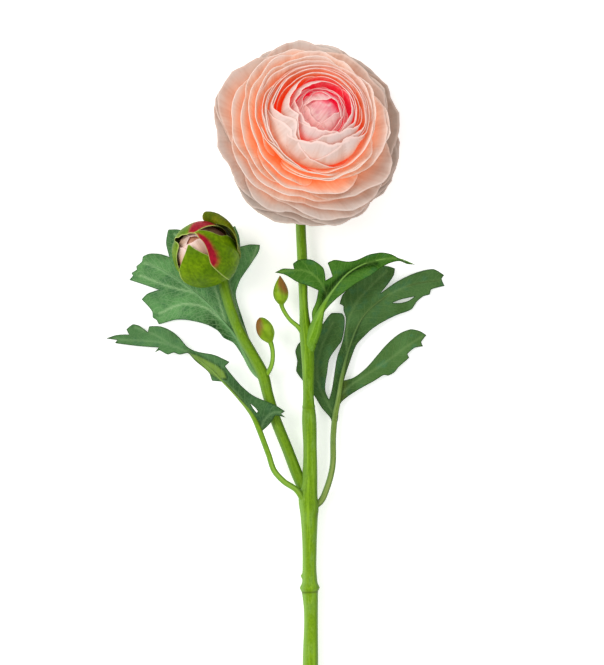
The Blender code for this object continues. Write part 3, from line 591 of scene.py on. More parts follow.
def petal_points(nest, azimuth, draw, length=1.0, tuck=TUCK, size=1.0):
    """Grid of a petal in the flower's frame, its UV, and t: how far out each point lies.

    A point is on the shell at t = v times the reach of its column, which a rounded tip
    and small waves shorten, and at the azimuth plus u times a spread that grows with t.
    draw is a random generator for the phases of the waves.
    """
    u, v = np.meshgrid(COLUMNS, RIM_ROWS)
    phase = draw.uniform(0, 2 * math.pi, 4)
    skew = draw.uniform(-0.03, 0.03)
    edge = (0.017 * np.sin(5 * u + phase[0]) + 0.011 * np.sin(11 * u + phase[1])
            + 0.007 * np.sin(23 * u + phase[2]) + 0.005 * np.sin(41 * u + phase[3]) + skew * u)
    corner = 1 - np.sqrt(1 - (0.995 * np.abs(u)) ** CORNER_POWER)
    t = v * size * (1 - keyed(TIP_ROUNDING, nest) * corner + edge) * length
    claw = np.degrees(CLAW_HALF_WIDTH / (CLAW_RADIUS * np.cos(np.radians(keyed(BASE_ROW, nest)))))
    around = azimuth + (claw + (keyed(PETAL_SPREAD, nest) - claw) * smooth_step(t / 0.55)) * u
    place = np.clip(nest + tuck * u * smooth_step(t / 0.4), 0, LAST_NEST)
    r, z = shell_point(place, around, t)
    move = smooth_step((t - 0.30) / 0.70) * keyed(RUFFLE_GROWTH, nest) * ruffle(place, around)
    weave = np.sin(4 * u + phase[3]) + 0.6 * np.sin(9 * u + phase[0]) + 0.4 * np.sin(17 * u + phase[1])
    weave = keyed(WEAVE_GROWTH, nest) * weave * smooth_step((v - 0.5) / 0.5)
    r = r + move + keyed(CURL_GROWTH, nest) * past(v, 0.88) + weave
    r = r + outline_reach(around) * smooth_step((place - 0.55) / 0.35) * smooth_step((t - 0.35) / 0.5)
    up = np.sin(np.radians(around))
    shorter = SHORTER_DOWN * np.clip(-up, 0, 1) + SHORTER_UP * np.clip(up, 0, 1)
    r = r * (1 - smooth_step((nest - 0.70) / 0.3) * t * shorter)
    z = z - keyed(DROOP_GROWTH, nest) * past(v, 0.80)
    a = np.radians(around)
    # painted shade: the hot colour reaches further out where the cup stands open and its crevices are deeper
    deep = t - 0.10 * np.clip(np.cos(a - CREVICE_SHADE_SIDE), 0, 1) * (1 - smooth_step(place / 0.4))
    return np.stack([r * np.cos(a), r * np.sin(a), z], -1), np.stack([(u + 1) / 2, v], -1), deep


def petal_thickness(uv):
    """Thin body and a thicker turned edge over the last twentieth."""
    edge = smooth_step((uv[..., 1] - 0.95) / 0.04)
    return BODY_THICKNESS + (RIM_THICKNESS - BODY_THICKNESS) * edge


print("points of a petal's grid:", len(RIM_ROWS), "x", len(COLUMNS))

# %% [markdown]
# ## The flower's petals
# The petals grow at golden angles, each a step further out. The outer ones on the right,
# and faintly the outermost ones away from the top left, carry painted shade, a tan tint, and
# the outermost pale grey comes further in on the upper right. Both are numbers that each petal carries for
# its satin to read.

# %% The petals
GOLDEN_ANGLE = 137.508
PETAL_COUNT = 37
OUTER_PETALS = 0.85      # from this share of the petals on, the outer colour's slot name is passed for them, which satin_petal doesn't read
PETAL_SEED, BETWEEN_SEED, HEART_SEED, SEPAL_SEED, BUD_SEED = 100, 300, 500, 700, 800
LAST_AZIMUTH = 250.0
FIRST_AZIMUTH = LAST_AZIMUTH - (PETAL_COUNT - 1) * GOLDEN_ANGLE
# the cup's outermost petals are dealt anew, so that the broad one at the lower left lies on top
CUP_PLACES = dict(enumerate([0.0, 0.02, 0.05, 0.065, 0.135, 0.150, 0.165, 0.312, 0.235, 0.250, 0.290, 0.300]))
CUP_LENGTHS = {7: 0.93, 10: 0.97}


def facing(azimuth, side):
    """Cosine of the angle between an azimuth and a side of the flower, both in degrees."""
    return math.cos(math.radians(azimuth - side))


def painted_shade_share(nest, azimuth):
    """Painted shade on the outer petals, 0 to 1: further in on the right side, and least towards the top
    left.
    """
    right = 0.85 * smooth_step(1.1 * facing(azimuth, 12.0) - 0.1)
    low = 0.45 * smooth_step(0.55 - 0.9 * facing(azimuth, 115.0))
    return float(max(right * smooth_step((nest - 0.50) / 0.30), low * smooth_step((nest - 0.92) / 0.06)))


def colour_place(nest, azimuth):
    """Nest for the colour, which runs up to 0.17 ahead of the petal's own on the upper right."""
    upper_right = smooth_step(0.5 + 0.9 * facing(azimuth, 35.0))
    return nest + 0.17 * float(upper_right * smooth_step((nest - 0.45) / 0.25))


def satin_petal(name, nest, azimuth, seed, slot, nodes=(), **shape):
    """Sheet on the petal's grid, with the numbers that the satin reads."""
    points, uv, deep = petal_points(nest, azimuth, np.random.default_rng(seed), **shape)
    piece = sheet(name, head_to_plan(points), petal_thickness(uv), uv, {
        "nest": colour_place(nest, azimuth), "painted_shade": painted_shade_share(nest, azimuth), "deep": deep, "fold_and_shade": 0.0})
    place_piece(piece, PETAL_SATIN, nodes)
    return piece


for i in range(PETAL_COUNT):
    share = i / (PETAL_COUNT - 1)
    piece = satin_petal(f"satin_petal_{i + 1:02d}", CUP_PLACES.get(i, share),
                        (FIRST_AZIMUTH + i * GOLDEN_ANGLE) % 360, PETAL_SEED + i,
                        "petal_outer_cream" if share > OUTER_PETALS else "petal_cream_pink",
                        [f"petal_{i + 1:02d}"], length=CUP_LENGTHS.get(i, 1.0))
print("petals:", PETAL_COUNT, "last one's volume in mm3:", round(facing_out(piece), 1))

# %% [markdown]
# ## More layers
# The real flower shows fifteen or sixteen rims at any place round it. The solids keep 37
# petals, so a few thin ones are slipped in between them, where the rims stand closest.

# %% Slipped-in petals
# nest and azimuth: a spiral between the solids' petals, then the open side of the cup, then the low side
SLIPPED_IN = [((i + 0.35) / (PETAL_COUNT - 1), (FIRST_AZIMUTH + i * GOLDEN_ANGLE) % 360)
              for i in np.arange(12, 32, 1.5)]
SLIPPED_IN += [(0.035, 215.0), (0.08, 350.0), (0.145, 60.0), (0.240, 100.0), (0.265, 20.0), (0.280, 185.0),
               (0.305, 130.0), (0.308, 340.0)]
SLIPPED_IN += [(0.895, 250.0), (0.925, 212.0), (0.945, 292.0), (0.965, 238.0), (0.975, 330.0), (0.985, 272.0)]
BETWEEN_SIZE = 0.985     # a little shorter, so that the solids' petals keep their rims
for k, (nest, azimuth) in enumerate(SLIPPED_IN):
    satin_petal(f"satin_petal_between_{k + 1:02d}", nest, azimuth, BETWEEN_SEED + k, "petal_cream_pink",
                size=BETWEEN_SIZE)
print("slipped in:", len(SLIPPED_IN))

# %% [markdown]
# ## Wrapped petals
# The innermost petals are still wrapped over each other in a ball. Shells about one axis
# can't reach over the top of it. So each is a patch of a sphere between great circles
# through two poles that lie level, a quarter turn from the petal's azimuth. Its rim is
# such a circle too, and sharp folds run over it like creases in a crumpled cloth.

# %% Wrapped petals
HEART_CENTRE = np.array([0.0, 0.0, 23.6])
HEART_STRETCH = np.array([1.0, 1.0, 1.04])
WRAP_FOOT, WRAP_WIDTH = 128.0, 76.0     # degrees from the ball's top to a petal's foot, and to its side


def fold_line(wavy):
    """Sharp folds where a wavy coordinate crosses zero: exp(-(sin(wavy) / 0.2)^2)."""
    return np.exp(-(np.sin(wavy) / 0.20) ** 2)


def wrap_points(radius, azimuth, rim, draw, crumple=0.0):
    """Patch of a sphere: e_t sin b + (e_r sin m + e_z cos m) cos b, times the radius.

    m goes from the foot to the rim, b across it; e_r points to the azimuth and e_t is
    level. The radius swells with the waves and folds. Returns points, UV and the folds,
    which the satin darkens with painted shade.
    """
    u, v = np.meshgrid(COLUMNS, RIM_ROWS)
    phase = draw.uniform(0, 2 * math.pi, 3)
    fall = (26.0 * (1 - np.sqrt(1 - (0.98 * u) ** 2)) + 4.0 * np.sin(4 * u + phase[0])
            + 2.2 * np.sin(9 * u + phase[1]) + 1.2 * np.sin(19 * u + phase[2]))
    m = np.radians(WRAP_FOOT + (rim + fall - WRAP_FOOT) * v)
    b = np.radians(WRAP_WIDTH) * u
    a = math.radians(azimuth)
    out, level = np.array([math.cos(a), math.sin(a), 0]), np.array([-math.sin(a), math.cos(a), 0])
    size = (radius + 0.30 * past(v, 0.9) + 0.16 * np.sin(5 * u + 3 * v + phase[2])
            + 0.10 * np.sin(14 * u + 6 * v + phase[1]) * v
            - 0.22 * v * np.exp(-(np.sin(4.5 * u + 3.5 * v + phase[0]) / 0.16) ** 2))
    # the folds dent the surface, and the satin darkens them with painted shade
    fold_and_shade = np.maximum(fold_line(3.2 * u + 11 * v + 0.9 * np.sin(4 * u + 1.0)),
                      0.5 * fold_line(5 * u - 4.5 * v + 0.8 * np.sin(6 * v)))
    waves = np.sin(6 * u + 5 * v + 1.0) * np.sin(11 * v - 4 * u) + 0.5 * np.sin(13 * u - 9 * v + 2.0)
    size = size + crumple * (waves - fold_and_shade)
    ray = (level * np.sin(b)[..., None] + (out * np.sin(m)[..., None]
           + np.array([0, 0, 1]) * np.cos(m)[..., None]) * np.cos(b)[..., None])
    points = HEART_CENTRE + ray * size[..., None] * HEART_STRETCH
    return points, np.stack([(u + 1) / 2, v], -1), fold_and_shade * min(crumple * 2.2, 1.0)


print("the heart's middle, in mm up the flower's axis:", HEART_CENTRE[2])

# %% [markdown]
# ## The folded heart
# Sixteen wrapped petals make the heart. The inner ones reach over the top of the ball,
# and the outer ones stop short of it, so their rims turn round the middle as in the
# real flower. They are pinker than the rest, and the innermost is the most crumpled.

# %% Heart petals
# radius, azimuth, tilt of the rim past the ball's top in degrees (minus: beyond it)
HEART_WRAPS = [
    (8.3, 55.0, -84.0), (8.8, 312.0, 30.0), (9.1, 222.0, 42.0), (9.3, 192.0, 66.0), (9.5, 158.0, 56.0),
    (9.4, 100.0, 24.0), (9.8, 38.0, 28.0), (10.1, 350.0, 48.0), (10.5, 225.0, 76.0), (10.6, 30.0, 50.0),
    (10.9, 150.0, 66.0), (11.1, 75.0, 54.0), (11.2, 290.0, 74.0), (12.0, 50.0, 80.0), (12.2, 350.0, 88.0),
    (12.1, 140.0, 84.0),
]
INNER_CRUMPLE, OUTER_CRUMPLE = 0.38, 0.10     # mm
HEART_SATIN = petal_material(
    "petal_satin_pink",
    fronts=[[(0.0, "D80C40"), (0.6, "E63460"), (0.85, "F4909C"), (1.0, "F8CCCC")]],
    backs=[[(0.0, "E01040"), (0.42, "EA3058"), (0.52, "EC7084"), (0.62, "E49CA2"), (0.76, "DEBAB6"),
            (1.0, "E6C8C4")]],
    glows=[[(0.0, "D0103C"), (0.42, "C41438"), (0.56, "A04450"), (0.74, "90605F"), (0.88, "947070"),
            (1.0, "A8847E")]],
    rims=("F2D4CE", "F2D4CE"), rim_highlight_glow="906E6C", mottle=0.7, pale_sheen="E6D6D0", fold_shade_colour="C87888")
for k, (radius, azimuth, rim) in enumerate(HEART_WRAPS):
    points, uv, fold_and_shade = wrap_points(radius, azimuth, rim, np.random.default_rng(HEART_SEED + k),
                                   OUTER_CRUMPLE if k else INNER_CRUMPLE)
    turned = np.arctan2(points[..., 1], points[..., 0])
    # painted shade: all but the innermost are hotter where the cup stands open and the crevices are deeper,
    # and paler on the other side
    deep = uv[..., 1] - 0.30 * np.clip(np.cos(turned - CREVICE_SHADE_SIDE), -0.6, 1) * (k > 0)
    piece = sheet(f"heart_petal_{k + 1}", head_to_plan(points), petal_thickness(uv), uv,
                  {"nest": 0.0, "painted_shade": 0.0, "deep": deep, "fold_and_shade": fold_and_shade})
    place_piece(piece, HEART_SATIN, () if k else ["flower_heart"])
print("heart petals:", len(HEART_WRAPS), "volume:", round(facing_out(piece), 1))

# %% [markdown]
# ## Green skin
# Sepals are thicker than petals and look waxy: a smooth olive skin with fine veins, a
# pale rim, and a crimson blush that breaks up into specks where it fades. The blush
# could follow a second UV map, but each sepal blushes in its own place, so every piece
# carries it as an attribute, worked out together with its shape.

# %% Sepal material
BLUSH = "AC0430"
GRAIN_DARK = "D8DCD0"     # multiplies the colour where the grain noise is low


def green_skin(name, base, light, dark, rim="C9D67A"):
    """Waxy skin: three greens, then the blush, the grain and the rim laid over them.

    Plant wax has an IOR near 1.45. The dull coat scatters most of the light, so the eye
    sees colour and hardly a highlight.
    """
    material, node, shader = new_material(name, Roughness=0.42, IOR=1.45, Specular_IOR_Level=0.06)
    uv = node("UVMap", uv_map="UVMap")
    place = node("TexCoord", output="Object")
    red, edge = (node("Attribute", output="Fac", attribute_name=key) for key in ("blush", "edge"))
    # patches 6 mm wide, and veins 0.7 mm apart
    patch = node("TexNoise", place, 160.0, 3.0)
    vein = node("TexNoise", node("Mapping", {"Vector": uv, "Scale": (34.0, 2.2, 1.0)}), 1.0, 2.0)
    colour = lay_over(node, paint(base), patch, 0.35, 0.68, 1.0, light)
    colour = lay_over(node, colour, vein, 0.50, 0.72, 0.45, dark)
    # specks 0.8 mm wide
    speck = node("TexNoise", place, 1200.0, 2.0)
    speck = node("Math", speck, 0.5, node("Math", patch, 0.5, **TIMES), **TIMES_PLUS)
    reddened = node("Math", node("Math", speck, 0.5, **LESS), 0.8, red, **TIMES_PLUS)
    colour = lay_over(node, colour, reddened, 0.12, 0.85, 0.97, BLUSH)
    # grain 1.4 mm wide
    colour = lay_over(node, colour, node("TexNoise", place, 700.0, 3.0), 0.65, 0.35, 1.0, GRAIN_DARK, DARKEN)
    colour = node("Mix", node("Math", edge, 0.8, **TIMES), colour, paint(rim), **BLEND)
    bump = node("Bump", {"Height": vein, "Strength": 0.25, "Distance": 0.0002})
    wire(shader, {"Base Color": colour, "Normal": bump})
    return material


OLIVE_SKIN = green_skin("sepal_waxy_olive", "6A8A0C", "7C981A", "4A6408")
print("olive skin, nodes:", len(OLIVE_SKIN.node_tree.nodes))

# %% [markdown]
# ## Sepals and receptacle behind the flower
# The flower's five sepals lie back under its last petals, so they are petals of one more
# shell, each with its own length. The receptacle is the green knob that carries the
# claws. It could be a squashed ball, but its profile has a lip, so it is turned: a curve
# through a few radii and heights, carried round the axis.

# %% Turned pieces, and the back of the flower
def lathe_rings(profile, sides=48, radius=1.0):
    """Rings of a turned piece: each (r, z) of the profile becomes r (cos a, sin a), z."""
    profile = np.asarray(profile, dtype=float)
    a = np.arange(sides) * 2 * math.pi / sides
    r = np.maximum(profile[:, :1], 0.04) * radius * np.ones(sides)
    return np.stack([r * np.cos(a), r * np.sin(a), np.broadcast_to(profile[:, 1:2], r.shape)], -1)


def smooth_profile(rows, steps):
    """The rows joined by cubic Hermite curves, steps points to each gap."""
    rows = np.array(rows, dtype=float)
    slope = np.gradient(rows, axis=0)
    i = np.repeat(np.arange(len(rows) - 1), steps)
    s = np.tile(np.arange(steps) / steps, len(rows) - 1)[:, None]
    return np.concatenate([hermite(rows[i], rows[i + 1], slope[i], slope[i + 1], s), rows[-1:]])


SEPAL_THICKNESS = 0.3
SEPAL_SHELL = 1.10
# azimuth, and length as a share of the shell
FLOWER_SEPALS = [(216.0, 0.80), (283.0, 0.70), (355.0, 0.58), (67.0, 0.42), (139.0, 0.66)]
RECEPTACLE = [(3.2, -1.5), (4.4, -1.15), (5.6, -0.6), (6.5, 0.2), (6.8, 1.0), (6.7, 3.0), (6.2, 5.0),
              (5.1, 7.2), (3.2, 9.3), (1.4, 10.3), (0.0, 10.5)]
for k, (azimuth, length) in enumerate(FLOWER_SEPALS):
    draw = np.random.default_rng(SEPAL_SEED + k)
    points, uv, _ = petal_points(SEPAL_SHELL, azimuth, draw, length=length, tuck=0.0)
    edge = smooth_step((np.abs(2 * uv[..., 0] - 1) - 0.93) / 0.07)
    piece = sheet(f"green_flower_sepal_{k + 1}", head_to_plan(points), SEPAL_THICKNESS, uv,
                  {"edge": edge, "blush": 0.0})
    place_piece(piece, OLIVE_SKIN, [f"flower_sepal_{k + 1}"])
receptacle = tube("green_receptacle", head_to_plan(lathe_rings(smooth_profile(RECEPTACLE, 4))))
place_piece(receptacle, OLIVE_SKIN, ["flower_receptacle"])
print("flower sepals:", len(FLOWER_SEPALS), "receptacle volume:", round(facing_out(receptacle), 1))

# %% [markdown]
# ## Stem plastic
# The stems look like wire wrapped in soft plastic: yellow-green with lighter streaks,
# a bluish painted highlight along the left edge and painted shade along the right one.
# Streaks on Object coordinates would run straight through the bends, so each stem
# carries an attribute that unrolls it, and the streaks are stretched along that.

# %% Stem material
FLECK = "A8C860"


def stem_material(name, low, high, streak, cool, dark, shade_colour="4C5E12"):
    """Green plastic skin: a mix along the spray, streaks along the stem, a painted highlight on the left edge
    and painted shade on the right one.

    Soft moulded plastic has an IOR near 1.46 and is a little rough, so the eye sees one
    broad weak highlight along the stem.
    """
    material, node, shader = new_material(name, Roughness=0.40, IOR=1.46, Specular_IOR_Level=0.14)
    place = node("TexCoord", output="Object")
    run = node("Attribute", output="Vector", attribute_name="run")
    left, shade = (node("Attribute", output="Fac", attribute_name=key) for key in ("left", "shade"))

    def along_stem(scale, detail):
        """Noise stretched along the stem; the scale is in waves per mm across, round and along it."""
        return node("TexNoise", node("Mapping", {"Vector": run, "Scale": scale}), 1.0, detail)

    # streaks 1 mm wide and 25 mm long; flecks 0.6 mm by 4 mm
    streaks = along_stem((0.9, 0.9, 0.04), 3.0)
    flecks = along_stem((1.7, 1.7, 0.25), 2.0)
    # patches 9 mm long, and specks 0.7 mm wide
    patches = along_stem((0.35, 0.35, 0.11), 3.0)
    specks = along_stem((1.4, 1.4, 1.0), 3.0)
    # from the foot of the spray to its top, in metres up the plan
    colour = lay_over(node, paint(low), node("SeparateXYZ", place, output=1), -0.17, 0.10, 1.0, high)
    colour = lay_over(node, colour, patches, 0.50, 0.70, 0.42, cool)
    colour = lay_over(node, colour, specks, 0.60, 0.34, 1.0, "E2E8D8", DARKEN)
    colour = lay_over(node, colour, streaks, 0.46, 0.70, 0.75, streak)
    colour = lay_over(node, colour, flecks, 0.60, 0.78, 0.35, FLECK)
    # painted highlight: bluish along the left edge
    colour = lay_over(node, colour, left, 0.25, 0.85, 0.70, cool)
    # painted shade along the right edge
    colour = lay_over(node, colour, left, -0.40, -1.0, 0.75, dark)
    colour = node("Mix", node("Math", shade, 0.8, **TIMES), colour, paint(shade_colour), **BLEND)
    bump = node("Bump", {"Height": streaks, "Strength": 0.3, "Distance": 0.0003})
    wire(shader, {"Base Color": colour, "Normal": bump})
    return material


STEM_SKIN = stem_material("stem_wrapped_green", "82AC14", "628C04", "8CB828", "86B054", "466C04")
SIDE_SKIN = stem_material("side_stem_wrapped_green", "628A08", "719814", "7CA42A", "6C9444", "3A5C04")
LIME_SKIN = stem_material("stalk_wrapped_lime", "7EAA1E", "78A41A", "92BC44", "74A048", "4C7408")
print("stem skins:", STEM_SKIN.name, SIDE_SKIN.name, LIME_SKIN.name)

# %% [markdown]
# ## Fluted tubes
# Stems and stalks are rings along their routes. A bevelled curve would do for a bare
# wire, but the real stem has shallow flutes along its length. So the radius of a ring
# point is the route's radius times one plus a small wave round the ring, and both ends
# draw in a little, like a moulded edge.

# %% A fluted tube
FLUTES, FLUTE_DEPTH = 9, 0.012
END_ROUNDING, END_LENGTH = 0.10, 0.5     # the last half millimetre draws in by a tenth


def bump_at(x, place, width):
    """exp(-((x - place) / width)^2): 1 at the place, and nearly 0 at twice the width."""
    return np.exp(-((x - place) / width) ** 2)


def stem_piece(name, route, sides, radius=1.0, shade=0.0):
    """Fluted tube along a route, with the attributes that the stem material reads.

    The ring's radius is the route's times radius (1 + depth sin(flutes a + 0.01 reach)
    + depth / 2 sin(4 a + 0.03 reach)), drawn in at both ends.
    """
    turn = np.arange(sides) * 2 * math.pi / sides
    reach = reach_of(route[:, :3])[:, None]
    grow = radius * (1 + FLUTE_DEPTH * np.sin(FLUTES * turn + 0.01 * reach)
                     + 0.5 * FLUTE_DEPTH * np.sin(4 * turn + 0.03 * reach))
    end = np.minimum(reach, reach[-1] - reach)
    grow = grow * (1 - END_ROUNDING * np.clip(1 - end / END_LENGTH, 0, 1) ** 2)
    size = route[:, 3][:, None]
    whole = (len(route), sides)
    run = np.stack([size * np.cos(turn), size * np.sin(turn), np.broadcast_to(reach, whole)], -1)
    return tube(name, rings_along(route, sides, grow), {
        "run": run, "left": np.broadcast_to(-np.cos(turn), whole), "shade": np.broadcast_to(shade, whole)})


print("depth of the flutes on a stem 3 mm in radius:", round(3 * FLUTE_DEPTH, 3), "mm")

# %% [markdown]
# ## Stems
# The real main stem has a ridge at its joint, a collar, a nub and a scar. They could be
# pieces of their own, but they are moulded in one skin with it. So they are bumps in its
# radius at known places along the stem and round it, and dark lines lie beside them.

# %% Stems
STEM_SIDES, SIDE_STEM_SIDES = 40, 32
fine = smooth_route(MAIN_STEM, 0.5)
height = fine[:, 1][:, None]
turn = (np.arange(STEM_SIDES) * 2 * math.pi / STEM_SIDES)[None, :]
turn_off = np.minimum(turn, 2 * math.pi - turn)     # angle from the right edge
ridge = 0.07 * bump_at(height, 38.4, 0.45) + 0.05 * bump_at(height, -39.6, 0.7)
groove = -0.03 * bump_at(height, -41.4, 0.5)
nub = 0.22 * bump_at(height, -34.6, 0.9) * bump_at(turn, math.pi, 0.35)
scar = 0.16 * bump_at(height, -5.5, 3.6) * bump_at(turn_off, 0.25, 0.35)
# dark lines under the collar and the joint, a dark fork, and the top of the stem's right edge
shade = (bump_at(height, -41.6, 0.4) + 0.6 * bump_at(height, 37.9, 0.3)
         + 0.9 * bump_at(height, -8.5, 1.4) * bump_at(turn, 0.5, 0.25)
         + 0.75 * smooth_step((height - 68.0) / 8.0) * bump_at(turn_off, 0.2, 0.65))
stem = stem_piece("wrapped_main_stem", fine, STEM_SIDES, 1 + ridge + groove + nub + scar, shade)
place_piece(stem, STEM_SKIN, ["main_stem"])
side = stem_piece("wrapped_side_stem", smooth_route(SIDE_STEM, 0.6), SIDE_STEM_SIDES)
place_piece(side, SIDE_SKIN, ["side_stem"])
print("stem volume:", round(facing_out(stem), 1), "side stem:", round(facing_out(side), 1))

# %% [markdown]
# ## Closed buds
# Each closed bud of the real spray is a small drop with five shallow seams between its
# folded sepals, and a reddish tip. It could be five sepals pressed together, but at this
# size only the seams show, so it is turned like the receptacle, with a dip at each seam.
# Its stalk is a thin tube that grows out of the stem.

# %% Shapes and skin of the closed buds
UPPER_BUD = [(0.0, 0.0), (1.0, 0.0), (1.9, 0.9), (3.0, 2.8), (3.3, 5.4), (2.5, 8.3), (1.1, 10.9), (0.0, 12.6)]
UPPER_BUD_FOOT = (-11.9, 82.4, 9.8)
UPPER_BUD_AXIS = (-0.05, 0.99, 0.10)
UPPER_BUD_STALK = [
    (-0.9, 66.4, 8.4, 1.6), (-2.3, 69.4, 8.6, 1.35), (-4.4, 72.4, 8.9, 1.05), (-8.2, 75.8, 9.3, 0.9),
    (-10.6, 79.2, 9.6, 0.9), (-11.7, 81.6, 9.75, 0.95),
]
LOWER_BUD = [(0.0, 0.0), (1.1, 0.0), (2.0, 1.0), (3.3, 3.1), (3.7, 5.9), (3.1, 8.6), (1.7, 10.8), (0.0, 11.7)]
LOWER_BUD_FOOT = (-16.6, 66.2, 10.6)
LOWER_BUD_AXIS = (-0.40, 0.90, 0.16)
LOWER_BUD_STALK = [
    (-19.9, 48.6, 8.6, 1.4), (-18.3, 52.2, 9.0, 1.2), (-16.6, 55.0, 9.6, 1.0), (-15.6, 59.5, 10.1, 0.95),
    (-16.0, 64.2, 10.4, 1.0),
]


def bud_material():
    """Waxy bud skin that reddens towards the tip, with painted shade in the seams.

    It is smoother than a sepal's skin, so the eye sees a small soft highlight.
    """
    material, node, shader = new_material(
        "small_bud_waxy_green", Roughness=0.38, IOR=1.46, Specular_IOR_Level=0.2)
    tip, seam = (node("Attribute", output="Fac", attribute_name=key) for key in ("tip", "seam"))
    # patches 4 mm wide
    patch = node("TexNoise", node("TexCoord", output="Object"), 250.0, 3.0)
    colour = lay_over(node, paint("74980A"), patch, 0.40, 0.65, 1.0, "8CB01E")
    reddening = node("Math", node("Math", patch, 0.5, **LESS), 0.5, tip, **TIMES_PLUS)
    colour = lay_over(node, colour, reddening, 0.30, 0.95, 0.85, "8C4A2A")
    # painted shade in the seams
    colour = node("Mix", node("Math", seam, 0.30, **TIMES), colour, paint("4E6A0A"), **BLEND)
    wire(shader, {"Base Color": colour})
    return material


BUD_SKIN = bud_material()
print("length of the closed buds in mm:", UPPER_BUD[-1][1], LOWER_BUD[-1][1])

# %% [markdown]
# ## Turning the closed buds
# The profile is turned about the bud's own axis, and the seams twist a little on their
# way to the tip, as folded sepals do. One side and the tip redden.

# %% Closed buds
SEAMS, SEAM_WIDTH, SEAM_DEPTH = 5, 7.0, 0.07     # the width in degrees
SEAM_TWIST = 0.15                                # of the way to the next seam
BUD_SIDES, BUD_STALK_SIDES = 60, 24


def closed_bud(name, profile, foot, axis, stalk, blush_side, number):
    """Turned bud: r (1 - depth seam), where seam = exp(-(angle to the seam / width)^2)."""
    rows = smooth_profile(profile, 7)
    a = np.arange(BUD_SIDES) * 2 * math.pi / BUD_SIDES
    share = (rows[:, 1] / rows[:, 1].max())[:, None]
    gap = np.abs((a * SEAMS / (2 * math.pi) + 0.5 + SEAM_TWIST * share) % 1 - 0.5) * 360 / SEAMS
    seam = bump_at(gap, 0.0, SEAM_WIDTH) * smooth_step(share / 0.35)
    rings = lathe_rings(rows, BUD_SIDES, 1 - SEAM_DEPTH * seam) @ turn_onto(axis).T + np.array(foot)
    red = (share - 0.35) * 1.3 + 0.75 * np.cos(a - math.radians(blush_side))
    piece = tube(f"waxy_{name}", rings, {"tip": np.clip(red, 0, 1) * smooth_step(share / 0.5), "seam": seam})
    place_piece(piece, BUD_SKIN, [name])
    route = smooth_route(stalk + [along(foot, axis, 0.4) + (1.15,)], 0.5)
    stalk_piece = stem_piece(f"wrapped_stalk_{number}", route, BUD_STALK_SIDES)
    place_piece(stalk_piece, LIME_SKIN, [name.replace("small_bud", "bud_stalk")])
    return facing_out(piece)


volumes = [
    closed_bud("upper_small_bud", UPPER_BUD, UPPER_BUD_FOOT, UPPER_BUD_AXIS, UPPER_BUD_STALK, 325.0, 1),
    closed_bud("lower_small_bud", LOWER_BUD, LOWER_BUD_FOOT, LOWER_BUD_AXIS, LOWER_BUD_STALK, 210.0, 2),
]
print("closed buds, volume in mm3:", np.round(volumes, 1))

# %% [markdown]
# ## The opening bud
# Five sepals wrap a ball of petals that just begins to show. A sepal could be a bent
# plane, but two of them would cut each other. So a sepal is a patch of a stretched ball
# about the bud's centre, with its own radius, so that one lies over the other: from its
# foot at the stalk to its rounded tip. The third one's tip stands away from the bud and
# rolls over.

# %% A sepal of the opening bud
BUD_STRETCH = 1.06
# degrees from the stalk to a sepal's foot, and its half width there
BUD_MOUTH, BUD_CLAW_SPREAD = 15.0, 34.0
ROLL_RADIUS, ROLL_ANGLE, ROLL_SHARE = 2.3, 165.0, 0.20
BUD_TURN = turn_onto(BUD_AXIS)


def bud_to_plan(points):
    """Turn points from the bud's frame onto its axis, and move them to its centre."""
    return points @ BUD_TURN.T + np.array(BUD_CENTRE)


def ball_point(size, p, a):
    """Point of the bud's stretched ball, a tenth fuller round its foot (p near 48 degrees)."""
    full = size * (1 + 0.09 * bump_at(p, math.radians(48), math.radians(20)))
    across = full * np.sin(p)
    return np.stack([across * np.cos(a), across * np.sin(a), -full * BUD_STRETCH * np.cos(p)], -1)


def bud_sepal_points(radius, azimuth, spread, tip, ahead, behind,
                     lift=0.0, roll_from=2.0, bulge=0.0, skew=0.0):
    """Patch of the ball, p from the mouth to the tip. Past roll_from it rolls over in an arc.

    The arc adds R sin w along the sepal and takes R (1 - cos w) off outwards. Returns the
    points, their UV, and in degrees how far off the sepal's azimuth and how high they lie.
    """
    u, v = np.meshgrid(COLUMNS, RIM_ROWS)
    t = v * (1 - np.where(u > 0, ahead[0] * np.abs(u) ** ahead[1], behind[0] * np.abs(u) ** behind[1]))
    flat_t = np.minimum(t, roll_from)
    p = np.radians(BUD_MOUTH + flat_t * (tip - BUD_MOUTH))
    a = np.radians(azimuth + (BUD_CLAW_SPREAD + (spread - BUD_CLAW_SPREAD) * smooth_step(t / 0.55)) * u
                   + skew * np.clip((t - 0.68) / 0.32, 0, 1) ** 1.5)
    size = (radius + lift * smooth_step((flat_t - 0.50) / 0.32) + 0.12 * np.sin(6 * u + azimuth) * t
            + bulge * smooth_step(-u) * np.sin(np.clip(t, 0, 1) * math.pi) ** 2)
    w = (np.clip(t - roll_from, 0, 1) / ROLL_SHARE * math.radians(ROLL_ANGLE))[..., None]
    outward = np.stack([np.sin(p) * np.cos(a), np.sin(p) * np.sin(a), -np.cos(p)], -1)
    onward = np.stack([np.cos(p) * np.cos(a), np.cos(p) * np.sin(a), np.sin(p)], -1)
    points = ball_point(size, p, a) + ROLL_RADIUS * (onward * np.sin(w) - outward * (1 - np.cos(w)))
    return points, np.stack([(u + 1) / 2, v], -1), np.degrees(a) - azimuth, np.degrees(p)


print("top of the bud's ball in the plan, in mm:", bud_to_plan(ball_point(13.0, math.pi, 0.0)).round(1))

# %% [markdown]
# ## Sepals of the opening bud
# The five sepals differ: one bulges, two lean over, and the third stands up and rolls
# back with its olive inside showing. Three of them blush crimson, each in its own place.

